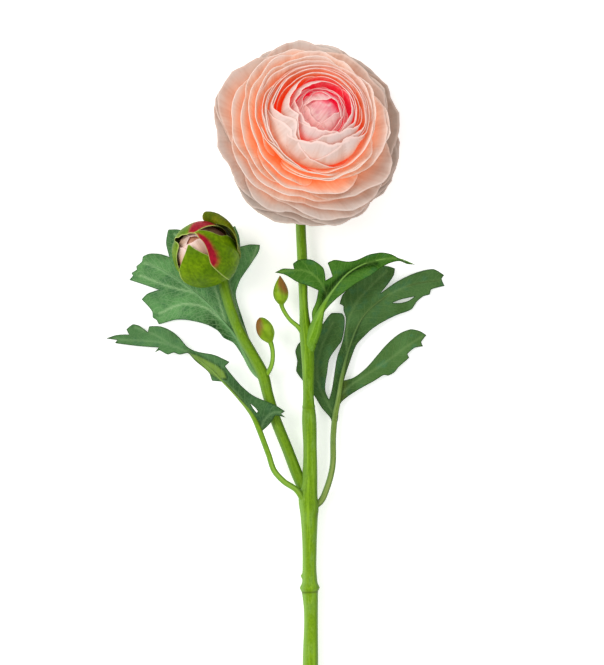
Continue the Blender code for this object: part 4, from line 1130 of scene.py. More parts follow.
# %% Sepals of the opening bud
# radius, azimuth, half spread, polar angle of the tip, then for the side of the larger
# azimuth and the other side: how far it falls short of the tip, and the power of its curve
BUD_SEPALS = [
    (13.2, -80.0, 42.0, 170.0, (0.24, 2.4), (0.34, 2.4)),
    (14.1, -13.0, 36.0, 164.0, (0.40, 1.3), (0.03, 2.0)),
    (14.6, 42.0, 36.0, 128.0, (0.24, 2.6), (0.34, 2.6)),
    (13.5, 104.0, 54.0, 168.0, (0.10, 2.0), (0.03, 2.0)),
    (13.2, 192.0, 42.0, 156.0, (0.34, 2.4), (0.40, 2.4)),
]
# what is particular to each sepal
SEPAL_WAYS = [
    {"bulge": 1.5}, {"skew": 62.0}, {"lift": 3.4, "roll_from": 0.80, "skew": 30.0}, {}, {"bulge": 0.4}]
ROLLED = 2
HALF_SEPAL, SEPAL_LENGTH, EDGE_WIDTH = 9.0, 30.0, 0.30     # mm, for the light edge


def bud_blush(k, across, v, off, polar):
    """Where the sepals blush: along one side of the second, a band of the fourth, faintly the third."""
    if k == 1:
        return 1.25 * bump_at(across, -1.0, 0.72) * smooth_step((polar - 94) / 34)
    if k == ROLLED:
        return 0.20 * smooth_step((v - 0.2) / 0.6)
    if k == 3:
        return 1.1 * bump_at(off, -32.0, 26.0) * smooth_step((polar - 92) / 30)
    return 0.0


SEPAL_SKIN = green_skin("bud_sepal_waxy_green", "5E8204", "76980A", "466404")
CURL_SKIN = green_skin("bud_sepal_waxy_olive", "586A04", "6E7E0C", "3A4404", rim="8C9440")
for k, (row, way) in enumerate(zip(BUD_SEPALS, SEPAL_WAYS)):
    points, uv, off, polar = bud_sepal_points(*row, **way)
    across, v = 2 * uv[..., 0] - 1, uv[..., 1]
    edge = np.maximum(bump_at((1 - np.abs(across)) * HALF_SEPAL, 0.0, EDGE_WIDTH),
                      bump_at((1 - v) * SEPAL_LENGTH, 0.0, EDGE_WIDTH))
    piece = sheet(f"waxy_bud_sepal_{k + 1}", bud_to_plan(points), SEPAL_THICKNESS, uv,
                  {"edge": edge, "blush": bud_blush(k, across, v, off, polar)})
    place_piece(piece, CURL_SKIN if k == ROLLED else SEPAL_SKIN, [f"bud_sepal_{k + 1}"])
print("bud sepals:", len(BUD_SEPALS), "last one's volume:", round(facing_out(piece), 1))

# %% [markdown]
# ## Petals inside the opening bud
# Under the sepals the petals are still folded in a ball, as in the flower's heart, so
# they are made in the same way. Only their tops show. Their satin is paler, and turns
# dark olive on the side that lies in deep shade under the open sepal.

# %% Petals of the opening bud
# radius, azimuth, tilt of the rim past the ball's top in degrees
BUD_PETALS = [
    (10.3, 60.0, -58.0), (10.9, 190.0, 6.0), (11.4, 300.0, 2.0), (11.8, 60.0, 14.0), (11.6, 235.0, 24.0),
]
BUD_SATIN = petal_material(
    "petal_satin_cream",
    fronts=[[(0.0, "A01838"), (1.0, "E8A898")]],
    backs=[[(0.0, "B01840"), (0.45, "C06050"), (0.66, "CE9478"), (0.84, "E6C2AC"), (1.0, "F8DCD4")]],
    glows=[[(0.0, "601018"), (0.6, "201008"), (1.0, "000000")]], rim_highlight_glow="402820",
    fold_shade_colour="3C3410")
for k, (radius, azimuth, rim) in enumerate(BUD_PETALS):
    points, uv, _ = wrap_points(radius, azimuth, rim, np.random.default_rng(BUD_SEED + k))
    points = bud_to_plan(points - HEART_CENTRE)
    # painted shade on the side under the open sepal
    towards = points[..., 0] - BUD_CENTRE[0] + 0.6 * (points[..., 1] - BUD_CENTRE[1])
    shaded = 0.85 * smooth_step((towards - 5.0) / 3.0)
    piece = sheet(f"bud_petal_{k + 1}", points, petal_thickness(uv), uv,
                  {"nest": 0.0, "painted_shade": 0.0, "deep": uv[..., 1], "fold_and_shade": shaded})
    place_piece(piece, BUD_SATIN, () if k else ["bud_heart"])
print("bud petals:", len(BUD_PETALS))

# %% [markdown]
# ## Leaf outlines
# The real leaves are pressed cloth, cut in deep lobes with sharp teeth. Such a leaf has
# no simple grid, so its outline is filled with small triangles. The outline's corners
# are joined by curves that stay sharp at the teeth.

# %% Outline curves and distances
def leaf_outline(corners, steps=5):
    """Closed Hermite curve through the corners; its slope fades to nothing at sharp teeth."""
    corners = np.array(corners, dtype=float)
    back, ahead = corners - np.roll(corners, 1, axis=0), np.roll(corners, -1, axis=0) - corners
    back /= np.linalg.norm(back, axis=1, keepdims=True)
    length = np.linalg.norm(ahead, axis=1, keepdims=True)
    ahead = ahead / length
    bend = np.clip((back * ahead).sum(axis=1, keepdims=True), 0, 1)
    way = (back + ahead) * bend / 2
    s = (np.arange(steps) / steps)[None, :, None]
    a, b = corners[:, None], np.roll(corners, -1, axis=0)[:, None]
    a_slope, b_slope = (way * length)[:, None] * 0.9, (np.roll(way, -1, axis=0) * length)[:, None] * 0.9
    return hermite(a, b, a_slope, b_slope, s).reshape(-1, 2)


def inside_outline(points, outline):
    """Even-odd rule for all points at once: odd crossings to the right mean inside."""
    x, y = points[:, :1], points[:, 1:]
    xa, ya = outline.T
    xb, yb = np.roll(outline, -1, axis=0).T
    slope = (xb - xa) / np.where(np.abs(yb - ya) < 1e-9, 1e-9, yb - ya)
    return (((ya > y) != (yb > y)) & (x < xa + (y - ya) * slope)).sum(axis=1) % 2 == 1


def to_lines(points, lines):
    """Distance of each point to the nearest line, and how far along that line it lies.

    lines is a list of polylines. Both answers are in mm, and the distance is signed:
    positive to the left of the line's own direction.
    """
    starts = np.concatenate([line[:-1] for line in lines])
    ends = np.concatenate([line[1:] for line in lines])
    before = np.concatenate([reach_of(line)[:-1] for line in lines])
    way = ends - starts
    length = np.linalg.norm(way, axis=1)
    offset = points[:, None] - starts[None]
    s = np.clip((offset * way).sum(axis=2) / length ** 2, 0, 1)
    gap = np.linalg.norm(offset - s[..., None] * way, axis=2)
    near = gap.argmin(axis=1)
    row = np.arange(len(points))
    cross = way[near, 0] * offset[row, near, 1] - way[near, 1] * offset[row, near, 0]
    return np.where(cross < 0, -1.0, 1.0) * gap[row, near], (before + s * length)[row, near]


def rib_curve(rows):
    """A rib's few plan points joined smoothly, about 1 mm apart."""
    rows = np.array(rows, dtype=float)
    return smooth_route(np.column_stack([rows, np.zeros((len(rows), 2))]), 1.0)[:, :2]


corner_test = leaf_outline([(0.0, 0.0), (4.0, 0.0), (4.0, 4.0), (0.0, 4.0)])
print("a square's outline, points:", len(corner_test), "its middle is inside:",
      bool(inside_outline(np.array([[2.0, 2.0]]), corner_test)[0]))

# %% [markdown]
# ## Filling an outline
# The inside of a blade needs points of its own, or its middle would stay flat. A few
# large faces would be lighter, but small even triangles take any bend. So rows of points
# fill the outline, and Delaunay's rule joins them into triangles.

# %% Triangles inside an outline
LEAF_CELL = 0.7                # mm between the points inside a blade


def fill_outline(outline, holes):
    """Flat triangles inside the outline, on staggered rows of points, with the holes left out.

    Returns the points, the triangles, and each point's distance to the nearest edge.
    """
    loops = [outline] + holes
    low, high = outline.min(axis=0), outline.max(axis=0)
    gx, gy = np.meshgrid(np.arange(low[0], high[0], LEAF_CELL), np.arange(low[1], high[1], LEAF_CELL * 0.87))
    gx[1::2] += LEAF_CELL / 2
    grid = np.column_stack([gx.ravel(), gy.ravel()])
    rims = [np.concatenate([loop, loop[:1]]) for loop in loops]
    grid = grid[inside_outline(grid, outline)]
    grid = grid[np.abs(to_lines(grid, rims)[0]) > LEAF_CELL * 0.45]
    first = np.cumsum([0] + [len(loop) for loop in loops])
    edges = np.concatenate([np.column_stack([np.arange(a, b), np.roll(np.arange(a, b), -1)])
                            for a, b in zip(first[:-1], first[1:])])
    every = np.concatenate(loops + [grid])
    filled = delaunay_2d_cdt([Vector(p) for p in every], edges.tolist(), [], 1, 0.0005)
    flat = np.array([tuple(p) for p in filled[0]])
    faces = np.array(filled[2])
    for hole in holes:
        faces = faces[~inside_outline(flat[faces].mean(axis=1), hole)]
    return flat, faces, np.abs(to_lines(flat, rims)[0])


print("triangles that fill the square:", len(fill_outline(corner_test, [])[1]))

# %% [markdown]
# ## Leaf blades
# A real blade dips along its ribs, swells between its side veins and waves along its
# edge. It could be sculpted, but then the veins in the colour wouldn't match the ones in
# the shape. So a point's height is the mean of a few given heights, each weighted by the
# inverse cube of its distance, plus what its ribs do, and its distances to the ribs and
# the edge go along as attributes for the leaf's material. Solidify makes it thick.

# %% Leaf surfaces
LEAF_THICKNESS = 0.28
HEIGHT_BLEND = 2.5             # mm round a given height that it has to itself
RIB_WIDTH, RIB_HEIGHT = 0.45, 0.2
CHANNEL_WIDTH = 2.2
SWELL_HEIGHT, SWELL_SLANT = 0.12, 1.1
WAVE_HEIGHT, WAVE_RUN = 0.35, 3.1


def mean_height(points, heights):
    """Sum of w h over sum of w, with w = (distance^2 + blend^2)^(-3/2)."""
    heights = np.array(heights)
    weight = (((points[:, None] - heights[None, :, :2]) ** 2).sum(axis=2) + HEIGHT_BLEND ** 2) ** -1.5
    return (weight @ heights[:, 2]) / weight.sum(axis=1)


def leaf_blade(name, corners, heights, ribs, spacing, channel, paint_map, creases=(), holes=()):
    """Open triangle mesh of a blade, with a Solidify modifier for its thickness.

    Height = mean height - channel along the ribs + rib + swelling between side veins
    + wave along the edge - creases, and never below the table.
    """
    flat, faces, margin = fill_outline(leaf_outline(corners), [leaf_outline(hole, 3) for hole in holes])
    curves = [rib_curve(rib) for rib in ribs]
    d, s = to_lines(flat, curves)
    gap = np.abs(d)
    rib = bump_at(gap, 0.0, RIB_WIDTH)
    swell = np.sin(2 * math.pi * ((s - SWELL_SLANT * gap) / spacing + 0.5 * (d > 0)))
    wave = np.sin(s / WAVE_RUN + np.sign(d)) * np.exp(-margin / 2.0) * smooth_step(gap / 2.0)
    z = mean_height(flat, heights) + RIB_HEIGHT * rib
    z = z - channel * bump_at(gap, 0.0, CHANNEL_WIDTH) * smooth_step(margin / 2.0)
    z = z + SWELL_HEIGHT * swell * smooth_step(gap / 3.0) + WAVE_HEIGHT * wave
    for line, depth, width in creases:
        z = z - depth * bump_at(to_lines(flat, [rib_curve(line)])[0], 0.0, width)
    z = np.maximum(z, FLOOR_CLEARANCE + LEAF_THICKNESS / 2 - SHIFT[2])
    extra = {"rib": rib, "rib_gap": gap, "rib_side": (d > 0) * 0.5, "rib_run": s, "margin": margin,
             "under": 0 * z, **paint_map(flat, curves)}
    piece = to_mesh(name, np.column_stack([flat, z]), faces, flat / 100.0, extra)
    wall = piece.modifiers.new("blade_thickness", "SOLIDIFY")
    wall.thickness = LEAF_THICKNESS * MM
    wall.offset = 0.0
    return piece


print("thickness of a leaf in mm:", LEAF_THICKNESS)

# %% [markdown]
# ## Leaf stalks
# A real leaf's stalk doesn't stop at the blade: it runs on as its main vein. It could be
# a second tube laid on the blade, but the seam would show. So one tapering tube goes
# from the stem to the blade's tip, and takes the blade's colour where it gets thin.

# %% Leaf stalks
RIB_SHARE = 0.55          # the vein's radius where it starts, over the stalk's
STALK_SIDES, STALK_STEP = 20, 0.7
THIN_FROM, THIN_FALL = 1.15, 0.7     # mm of radius where the stalk begins to take the blade's colour


def leaf_stalk(name, rows, rib_rows, heights, material, tip_radius):
    """Stalk that runs on along the main rib as a raised, tapering vein in the leaf's colour."""
    start = np.array(rows, dtype=float)
    rib = np.array(rib_rows, dtype=float)
    rib = rib[np.linalg.norm(rib - start[-1, :2], axis=1).argmin() + 1:]
    radius = np.linspace(start[-1, 3] * RIB_SHARE, tip_radius, len(rib) + 1)[1:]
    onward = np.column_stack([rib, mean_height(rib, heights), radius])
    route = smooth_route(np.concatenate([start, onward]), STALK_STEP)
    route[:, 3] = np.maximum(route[:, 3], tip_radius)
    route[:, 2] = np.maximum(route[:, 2], FLOOR_CLEARANCE - SHIFT[2] + route[:, 3])
    piece = stem_piece(name, route, STALK_SIDES, shade=smooth_step((THIN_FROM - route[:, 3:4]) / THIN_FALL))
    place_piece(piece, material)


def grow_leaf(leaf, slot, corners, heights, ribs, stalk, cloth, skin,
              vein_rows=None, tip_radius=0.14, **ways):
    """Blade of one leaf of the solids, and the stalk that runs on as its main vein."""
    blade = leaf_blade(f"matt_{leaf}", corners, heights, ribs, **ways)
    place_piece(blade, cloth, [leaf])
    leaf_stalk(f"{leaf}_stalk_and_rib", stalk, ribs[0][:vein_rows], heights, skin, tip_radius)
    print(leaf, "has", len(blade.data.polygons), "triangles in its open blade")


print("sides of a leaf's stalk:", STALK_SIDES)

# %% [markdown]
# ## Leaf cloth
# The leaves look like matt printed cloth: patches of three greens, lighter ribs and side
# veins with a fine net between them, and a thin dark edge. The veins could be drawn on
# an image, but an image can't follow a rib that bends. Here the shader works out the
# veins from how far along the rib a point lies and how far off it.

# %% Leaf material
LEAF_SHADE_TINT = "8CA080"     # painted shade: multiplies the colour where a leaf lies in shade and along its folds
VEIN_HALF_WIDTH, VEIN_SOFT = 0.05, 0.30     # mm


def leaf_material(name, base, light, cool, vein_colour, vein_strength, spacing, rim, slant=1.1,
                  under="8DA83C"):
    """Matt leaf: patches of three greens, lighter ribs, side veins and net, a thin dark edge.

    A side vein lies where the fraction of (run - slant gap) / spacing is a half. Cloth
    with a matt print has an IOR near 1.45, and its grain leaves no clear highlight.
    """
    material, node, shader = new_material(name, Roughness=0.55, IOR=1.45, Specular_IOR_Level=0.10)
    place = node("TexCoord", output="Object")
    rib, gap, side, run, margin, tone, beneath = (
        node("Attribute", output="Fac", attribute_name=key)
        for key in ("rib", "rib_gap", "rib_side", "rib_run", "margin", "tone", "under"))
    # patches 12 mm and 5 mm wide, net cells 1.6 mm, grain 0.5 mm
    broad = node("TexNoise", place, 85.0, 2.0)
    patch = node("TexNoise", place, 200.0, 3.0)
    grain = node("TexNoise", place, 1900.0, 2.0)
    net = node("TexVoronoi", place, 620.0, output="Distance", feature="DISTANCE_TO_EDGE")
    bent = node("Math", gap, -slant, run, **TIMES_PLUS)
    bent = node("Math", node("Math", patch, 0.5, **LESS), 3.0, bent, **TIMES_PLUS)
    phase = node("Math", node("Math", bent, 1 / spacing, side, **TIMES_PLUS), 20.0, operation="ADD")
    off = node("Math", node("Math", phase, operation="FRACT"), 0.5, **LESS)
    off = node("Math", off, operation="ABSOLUTE")
    vein = node("MapRange", off, VEIN_SOFT / spacing, VEIN_HALF_WIDTH / spacing, **SMOOTH)
    # side veins fade out between 2 mm and 14 mm from the rib
    vein = node("Math", vein, node("MapRange", gap, 14.0, 2.0, **SMOOTH), **TIMES)
    threads = node("Math", node("MapRange", net, 0.12, 0.02, **SMOOTH), 0.35, **TIMES)
    threads = node("Math", node("Math", vein, 0.8, **TIMES), threads, operation="MAXIMUM")
    lines = node("Math", node("Math", rib, 1.2, threads, **TIMES_PLUS), vein_strength, **TIMES)
    colour = lay_over(node, paint(base), broad, 0.38, 0.62, 1.0, light)
    colour = lay_over(node, colour, patch, 0.50, 0.70, 0.55, cool)
    # painted shade where the leaf lies in shade and along its folds
    colour = node("Mix", tone, colour, paint(LEAF_SHADE_TINT), **DARKEN)
    colour = node("Mix", beneath, colour, paint(under), **BLEND)
    colour = node("Mix", lines, colour, paint(vein_colour), **BLEND)
    colour = lay_over(node, colour, margin, 0.50, 0.10, 0.7, rim)
    grainy = node("HueSaturation", {"Color": colour, "Value": node("Math", grain, 0.30, 0.85, **TIMES_PLUS)})
    height = node("Math", grain, 0.4, node("Math", vein, -0.8, patch, **TIMES_PLUS), **TIMES_PLUS)
    bump = node("Bump", {"Height": height, "Strength": 0.35, "Distance": 0.0003})
    rough = node("Math", grain, 0.2, 0.45, **TIMES_PLUS)
    wire(shader, {"Base Color": grainy, "Roughness": rough, "Normal": bump})
    return material


print("leaf cloth: veins are", 2 * VEIN_HALF_WIDTH, "mm wide and soft to", VEIN_SOFT, "mm")

# %% [markdown]
# ## Right leaf
# The leaf with the longest stalk grows from the fork and spreads to the right. Each leaf
# has its outline, with a corner at every tooth and turn of its edge, then its heights,
# its ribs, and the stalk that carries it. The first rib is the main one. The rows are in
# plan millimetres.

# %% Right leaf
RIGHT_LEAF = [
    (9.9, 29.4), (9.5, 32.9), (5.6, 37.6), (2.5, 42.6), (-2.6, 49.3), (-5.5, 53.6),
    (-5.1, 57.9), (-5.9, 62.3), (-4.5, 65.5), (-1.3, 67.9), (2.8, 69.4), (6.1, 74.2),
    (9.6, 78.6), (14.3, 78.5), (15.3, 76.8), (14.0, 66.4), (12.5, 64.4), (8.8, 58.9),
    (7.9, 53.4), (7.0, 45.1), (8.6, 41.3), (9.6, 44.6), (11.2, 54.3), (12.1, 59.6),
    (14.4, 66.4), (15.9, 76.5), (14.9, 79.8), (14.8, 81.7), (13.2, 82.6), (14.6, 86.7),
    (19.8, 91.4), (24.0, 95.0), (28.8, 98.2), (33.5, 99.0), (37.1, 97.9), (36.6, 95.0),
    (30.8, 87.2), (38.2, 92.4), (46.1, 96.1), (53.9, 97.7), (58.4, 95.1), (57.3, 93.5),
    (58.6, 90.4), (52.8, 88.8), (52.1, 86.7), (49.6, 86.0), (46.6, 83.6), (44.6, 80.6),
    (43.2, 79.7), (38.1, 77.9), (31.5, 74.6), (27.1, 71.7), (23.6, 68.4), (20.5, 64.9),
    (18.2, 59.2), (15.8, 52.1), (15.1, 49.6), (19.2, 50.8), (24.9, 55.2), (29.3, 60.3),
    (34.2, 65.8), (39.4, 70.0), (44.1, 71.7), (48.3, 70.7), (50.7, 69.1), (48.5, 66.2),
    (49.2, 64.3), (45.6, 63.6), (42.5, 60.9), (43.2, 59.4), (38.6, 55.2), (36.8, 53.0),
    (34.2, 51.7), (32.4, 51.9), (28.4, 49.5), (20.5, 45.1), (14.3, 40.6), (13.2, 38.9),
    (12.1, 31.4),
]
RIGHT_LEAF_HEIGHTS = [
    (12.0, 34.0, 4.0), (14.0, 50.0, 3.8), (17.5, 62.0, 4.2), (24.0, 78.0, 4.5),
    (35.0, 87.0, 3.5), (58.4, 95.0, 0.4), (52.0, 88.0, 1.2), (33.0, 99.0, 1.5),
    (24.0, 95.0, 2.2), (8.0, 75.0, 3.2), (-5.5, 60.0, 2.0), (3.0, 45.0, 3.0),
    (30.0, 55.0, 3.4), (44.0, 70.0, 2.2), (50.0, 68.0, 0.8), (38.0, 55.0, 2.4),
]
RIGHT_RIBS = [
    [(11.5, 29.5), (12.0, 34.0), (13.0, 39.5), (14.0, 48.5), (17.5, 64.0), (24.0, 78.0),
     (32.0, 85.0), (45.0, 91.0), (57.5, 93.0)],
    [(12.1, 41.5), (17.0, 46.6), (24.2, 51.7), (33.5, 57.7), (42.7, 64.6), (49.0, 68.6)],
    [(11.2, 34.0), (8.2, 39.5), (4.8, 46.1), (3.4, 54.5), (5.2, 63.7), (10.3, 74.8)],
    [(16.4, 60.0), (16.8, 74.8), (20.5, 83.2), (27.0, 90.6), (33.5, 96.7)],
]
RIGHT_LEAF_STALK = [
    (1.5, -5.2, 6.6, 1.5), (4.9, -2.6, 6.3, 1.4), (7.8, 3.5, 5.9, 1.35),
    (9.9, 11.1, 5.4, 1.3), (10.5, 26.5, 4.4, 1.25), (11.2, 34.0, 4.0, 1.25),
    (12.6, 41.0, 3.8, 1.15), (14.2, 51.0, 3.8, 0.9),
]
RIGHT_GAP = [(36.0, 83.1), (40.0, 84.6), (45.6, 85.8), (43.0, 84.0), (39.0, 83.0)]


def right_map(flat, curves):
    """Olive along one side of the main rib, and painted shade everywhere but the lower lobe, most near the
    foot and beside the rib.
    """
    main, way = to_lines(flat, curves[:1])
    olive = bump_at(main, -1.4, 1.3) * bump_at(way, 14.0, 12.0)
    lobe, lobe_way = to_lines(flat, curves[1:2])
    light = bump_at(lobe, 0.0, 9.0) * smooth_step((lobe_way - 6.0) / 8.0)
    foot = bump_at(main, 0.0, 6.0) * (1 - smooth_step((way - 34.0) / 14.0))
    beside = bump_at(main, -4.0, 3.0) * bump_at(way, 40.0, 16.0)
    return {"under": 0.45 * olive, "tone": np.clip(0.36 * (1 - light) + 0.45 * foot + 0.3 * beside, 0, 1)}


RIGHT_GREEN = leaf_material("leaf_matt_dark_green", "4A7036", "567E44", "467C56", "7A9A5C", 0.30, spacing=4.2,
                            under="56600E", rim="2C4628")
RIGHT_STALK_SKIN = stem_material("leaf_stalk_olive_green", "76903A", "6F8C3A", "94A85A", "7C9C60", "4A661C",
                                 shade_colour="4E6E3A")
grow_leaf("right_leaf", "leaf_green", RIGHT_LEAF, RIGHT_LEAF_HEIGHTS, RIGHT_RIBS, RIGHT_LEAF_STALK,
          RIGHT_GREEN, RIGHT_STALK_SKIN, spacing=4.2, channel=0.5, paint_map=right_map, holes=[RIGHT_GAP])

# %% [markdown]
# ## Left leaf
# The left leaf is long and narrow, and its blade twists, so that the yellow-green
# underside shows over a short stretch. Turning the mesh over there would cost a second
# surface. The twist is slight from above, so a patch of the underside's colour does it.

# %% Left leaf
LEFT_LEAF = [
    (-87.6, 67.7), (-83.2, 69.2), (-77.7, 69.4), (-78.9, 71.6), (-76.1, 73.8),
    (-73.3, 73.2), (-69.6, 70.4), (-69.0, 72.9), (-64.0, 72.9), (-59.0, 70.7),
    (-56.0, 68.2), (-52.3, 64.0), (-49.1, 62.3), (-40.4, 60.5), (-34.2, 57.6),
    (-36.1, 55.8), (-29.4, 47.7), (-24.3, 43.4), (-14.4, 39.0), (-10.4, 36.5),
    (-11.9, 35.3), (-10.0, 33.7), (-14.4, 34.7), (-16.9, 31.0), (-20.6, 27.5),
    (-23.0, 31.0), (-26.8, 38.4), (-32.3, 44.6), (-36.8, 48.9), (-41.7, 49.6),
    (-42.9, 52.7), (-49.1, 58.2), (-52.2, 61.4), (-56.0, 60.8), (-58.4, 61.6),
    (-61.0, 60.8), (-64.6, 62.6), (-66.6, 61.6), (-64.9, 63.8), (-73.9, 64.4),
    (-83.9, 65.7), (-82.8, 67.0),
]
LEFT_LEAF_HEIGHTS = [
    (-20.6, 28.0, 12.4), (-25.0, 36.0, 12.8), (-12.0, 37.0, 13.6), (-10.4, 35.0, 13.8),
    (-18.0, 40.0, 13.2), (-29.0, 45.0, 12.0), (-40.0, 55.0, 9.6), (-49.0, 60.0, 7.4),
    (-60.0, 67.0, 4.8), (-75.0, 68.0, 2.4), (-87.0, 67.6, 0.4), (-76.0, 73.5, 1.6),
    (-66.0, 72.0, 3.6), (-36.0, 49.5, 11.6),
]
LEFT_RIBS = [
    [(-21.0, 28.0), (-25.5, 34.5), (-30.5, 42.0), (-37.0, 49.0), (-43.0, 55.0), (-49.0, 59.5),
     (-56.0, 63.5), (-64.5, 66.0), (-77.5, 67.0), (-87.0, 67.6)],
    [(-58.0, 64.0), (-66.0, 69.0), (-75.0, 72.5)],
    [(-20.8, 28.8), (-18.5, 33.5), (-14.5, 36.0), (-10.8, 35.4)],
]
LEFT_LEAF_STALK = [
    (-2.4, -1.6, 8.4, 1.5), (-5.4, 2.6, 10.9, 1.3), (-10.9, 6.3, 11.8, 1.25),
    (-14.8, 10.6, 11.9, 1.25), (-17.4, 17.8, 12.1, 1.2), (-19.8, 24.2, 12.3, 1.2),
    (-21.4, 28.4, 12.4, 1.2), (-24.4, 34.6, 12.8, 0.9),
]
LEFT_GAP = [(-25.2, 39.7), (-23.6, 38.4), (-21.9, 36.4), (-22.5, 35.8), (-23.9, 37.5)]
# where the twist of the blade turns its yellow-green underside up
LEFT_BELLY = [
    (-51.9, 61.2), (-48.4, 60.3), (-44.1, 58.2), (-39.8, 56.0), (-36.8, 53.4), (-35.7, 50.8), (-38.9, 50.4),
    (-43.7, 53.6), (-48.0, 57.6), (-51.0, 60.0),
]


def left_map(flat, curves):
    """Yellow-green where the twist turns the underside up and along the foot of the rib, and painted shade
    beside them.
    """
    main, way = to_lines(flat, curves[:1])
    depth = np.abs(to_lines(flat, [np.array(LEFT_BELLY + LEFT_BELLY[:1])])[0])
    depth = np.where(inside_outline(flat, np.array(LEFT_BELLY)), depth, -depth)
    belly = smooth_step(0.5 + depth / 1.0)
    strip = (1 - smooth_step((way - 24.0) / 4.0)) * bump_at(main, 0.5, 1.0)
    near = 1 - smooth_step((way - 26.0) / 10.0)
    dark = 0.55 * near * smooth_step((-main - 0.3) / 1.5) + smooth_step(1.0 + depth / 1.6) * (1 - belly)
    return {"under": np.clip(0.8 * belly + strip, 0, 1), "tone": np.clip(dark, 0, 1)}


LEFT_GREEN = leaf_material("leaf_matt_mid_green", "466E3E", "52804A", "406E48", "84A872", 0.30, spacing=3.6,
                           under="7E9C38", rim="2A4622")
LEFT_STALK_SKIN = stem_material("leaf_stalk_lime_green", "78A41A", "78A222", "92BA4C", "70A050", "4C7408",
                                shade_colour="7C9E48")
# its raised vein ends before the blade narrows, after the first six rows of the rib
grow_leaf("left_leaf", "leaf_green", LEFT_LEAF, LEFT_LEAF_HEIGHTS, LEFT_RIBS, LEFT_LEAF_STALK,
          LEFT_GREEN, LEFT_STALK_SKIN, vein_rows=6, tip_radius=0.25, spacing=3.6, channel=0.5,
          paint_map=left_map, holes=[LEFT_GAP])

# %% [markdown]
# ## Leaf behind the bud
# A broad leaf lies flat behind the opening bud. Its print is bluer, with strong pale
# veins on each of its six ribs, and its channels are shallow.

# %% Leaf behind the bud
BUD_LEAF = [
    (-25.1, 54.7), (-27.6, 58.3), (-32.7, 65.9), (-36.8, 68.0), (-39.3, 71.0),
    (-44.0, 73.6), (-53.1, 75.7), (-57.7, 75.7), (-64.9, 73.9), (-65.9, 75.7),
    (-67.5, 76.7), (-67.7, 79.2), (-72.3, 84.6), (-70.0, 86.9), (-64.9, 88.7),
    (-71.5, 91.0), (-77.7, 93.0), (-76.1, 94.9), (-76.8, 96.0), (-74.4, 97.5),
    (-74.6, 98.8), (-72.2, 101.0), (-71.8, 103.0), (-69.0, 104.3), (-64.4, 104.2),
    (-60.3, 102.9), (-61.8, 109.0), (-60.8, 114.7), (-56.2, 114.7), (-51.5, 112.0),
    (-47.1, 100.7), (-37.6, 107.7), (-33.8, 115.5), (-32.0, 116.2), (-30.2, 111.9),
    (-29.7, 107.3), (-25.6, 108.3), (-21.2, 108.1), (-21.5, 105.8), (-25.6, 99.1),
    (-30.2, 92.0), (-31.6, 86.9), (-28.5, 75.7), (-24.6, 62.7),
]
BUD_LEAF_HEIGHTS = [
    (-25.1, 55.5, 6.4), (-29.0, 65.0, 5.4), (-38.0, 74.0, 4.2), (-50.0, 85.0, 2.8),
    (-60.0, 92.0, 1.8), (-77.0, 95.0, 0.4), (-68.0, 77.0, 0.9), (-61.0, 114.0, 0.9),
    (-46.0, 101.0, 2.0), (-33.0, 115.0, 2.2), (-22.0, 107.0, 3.0), (-28.0, 90.0, 4.2),
    (-27.0, 75.0, 5.0),
]
BUD_LEAF_RIBS = [
    [(-25.1, 55.4), (-30.5, 66.5), (-37.3, 75.5), (-42.8, 81.9), (-49.1, 87.4), (-57.8, 93.7),
     (-65.5, 98.3), (-71.0, 100.5)],
    [(-37.3, 75.5), (-45.5, 81.3), (-54.6, 82.5), (-64.5, 78.5)],
    [(-36.0, 74.2), (-38.2, 82.0), (-40.5, 89.2), (-52.0, 104.0), (-58.0, 113.0)],
    [(-28.5, 63.0), (-31.0, 80.0), (-35.0, 95.0), (-32.5, 113.0)],
    [(-27.0, 60.0), (-27.8, 75.0), (-28.0, 90.0), (-22.5, 107.0)],
    [(-49.1, 87.4), (-60.0, 90.0), (-73.0, 95.0)],
]
BUD_LEAF_STALK = [
    (-20.3, 50.5, 8.0, 1.3), (-23.6, 53.6, 6.9, 1.3), (-26.6, 58.5, 6.1, 1.15),
    (-30.2, 66.5, 5.3, 0.8),
]


def bud_map(flat, curves):
    """Painted shade along the lower edge near the foot."""
    main, way = to_lines(flat, curves[:1])
    low = smooth_step((main - 1.0) / 3.0) * (1 - smooth_step((way - 20.0) / 14.0))
    near = 0.35 * (1 - smooth_step((way - 30.0) / 12.0)) * (1 - smooth_step((flat[:, 1] - 74.0) / 12.0))
    return {"tone": np.clip(low + near, 0, 1)}


BLUE_GREEN = leaf_material("leaf_matt_blue_green", "4C7C46", "629858", "3A6A42", "9AC088", 0.58, spacing=3.4,
                           slant=1.5, rim="34583A")
BLUE_STALK_SKIN = stem_material("leaf_stalk_blue_green", "6C984C", "6A9C5C", "88B478", "709C68", "44703C",
                                shade_colour="78A870")
grow_leaf("bud_leaf", "leaf_blue_green", BUD_LEAF, BUD_LEAF_HEIGHTS, BUD_LEAF_RIBS, BUD_LEAF_STALK,
          BLUE_GREEN, BLUE_STALK_SKIN, spacing=3.4, channel=0.35, paint_map=bud_map)

# %% [markdown]
# ## Leaf that clasps the stem
# The last leaf wraps the main stem with a light green sheath, and its two long lobes are
# creased, with painted shade, a deep green, in the creases. The creases are lines of their
# own, which press the blade down and darken it with painted shade.

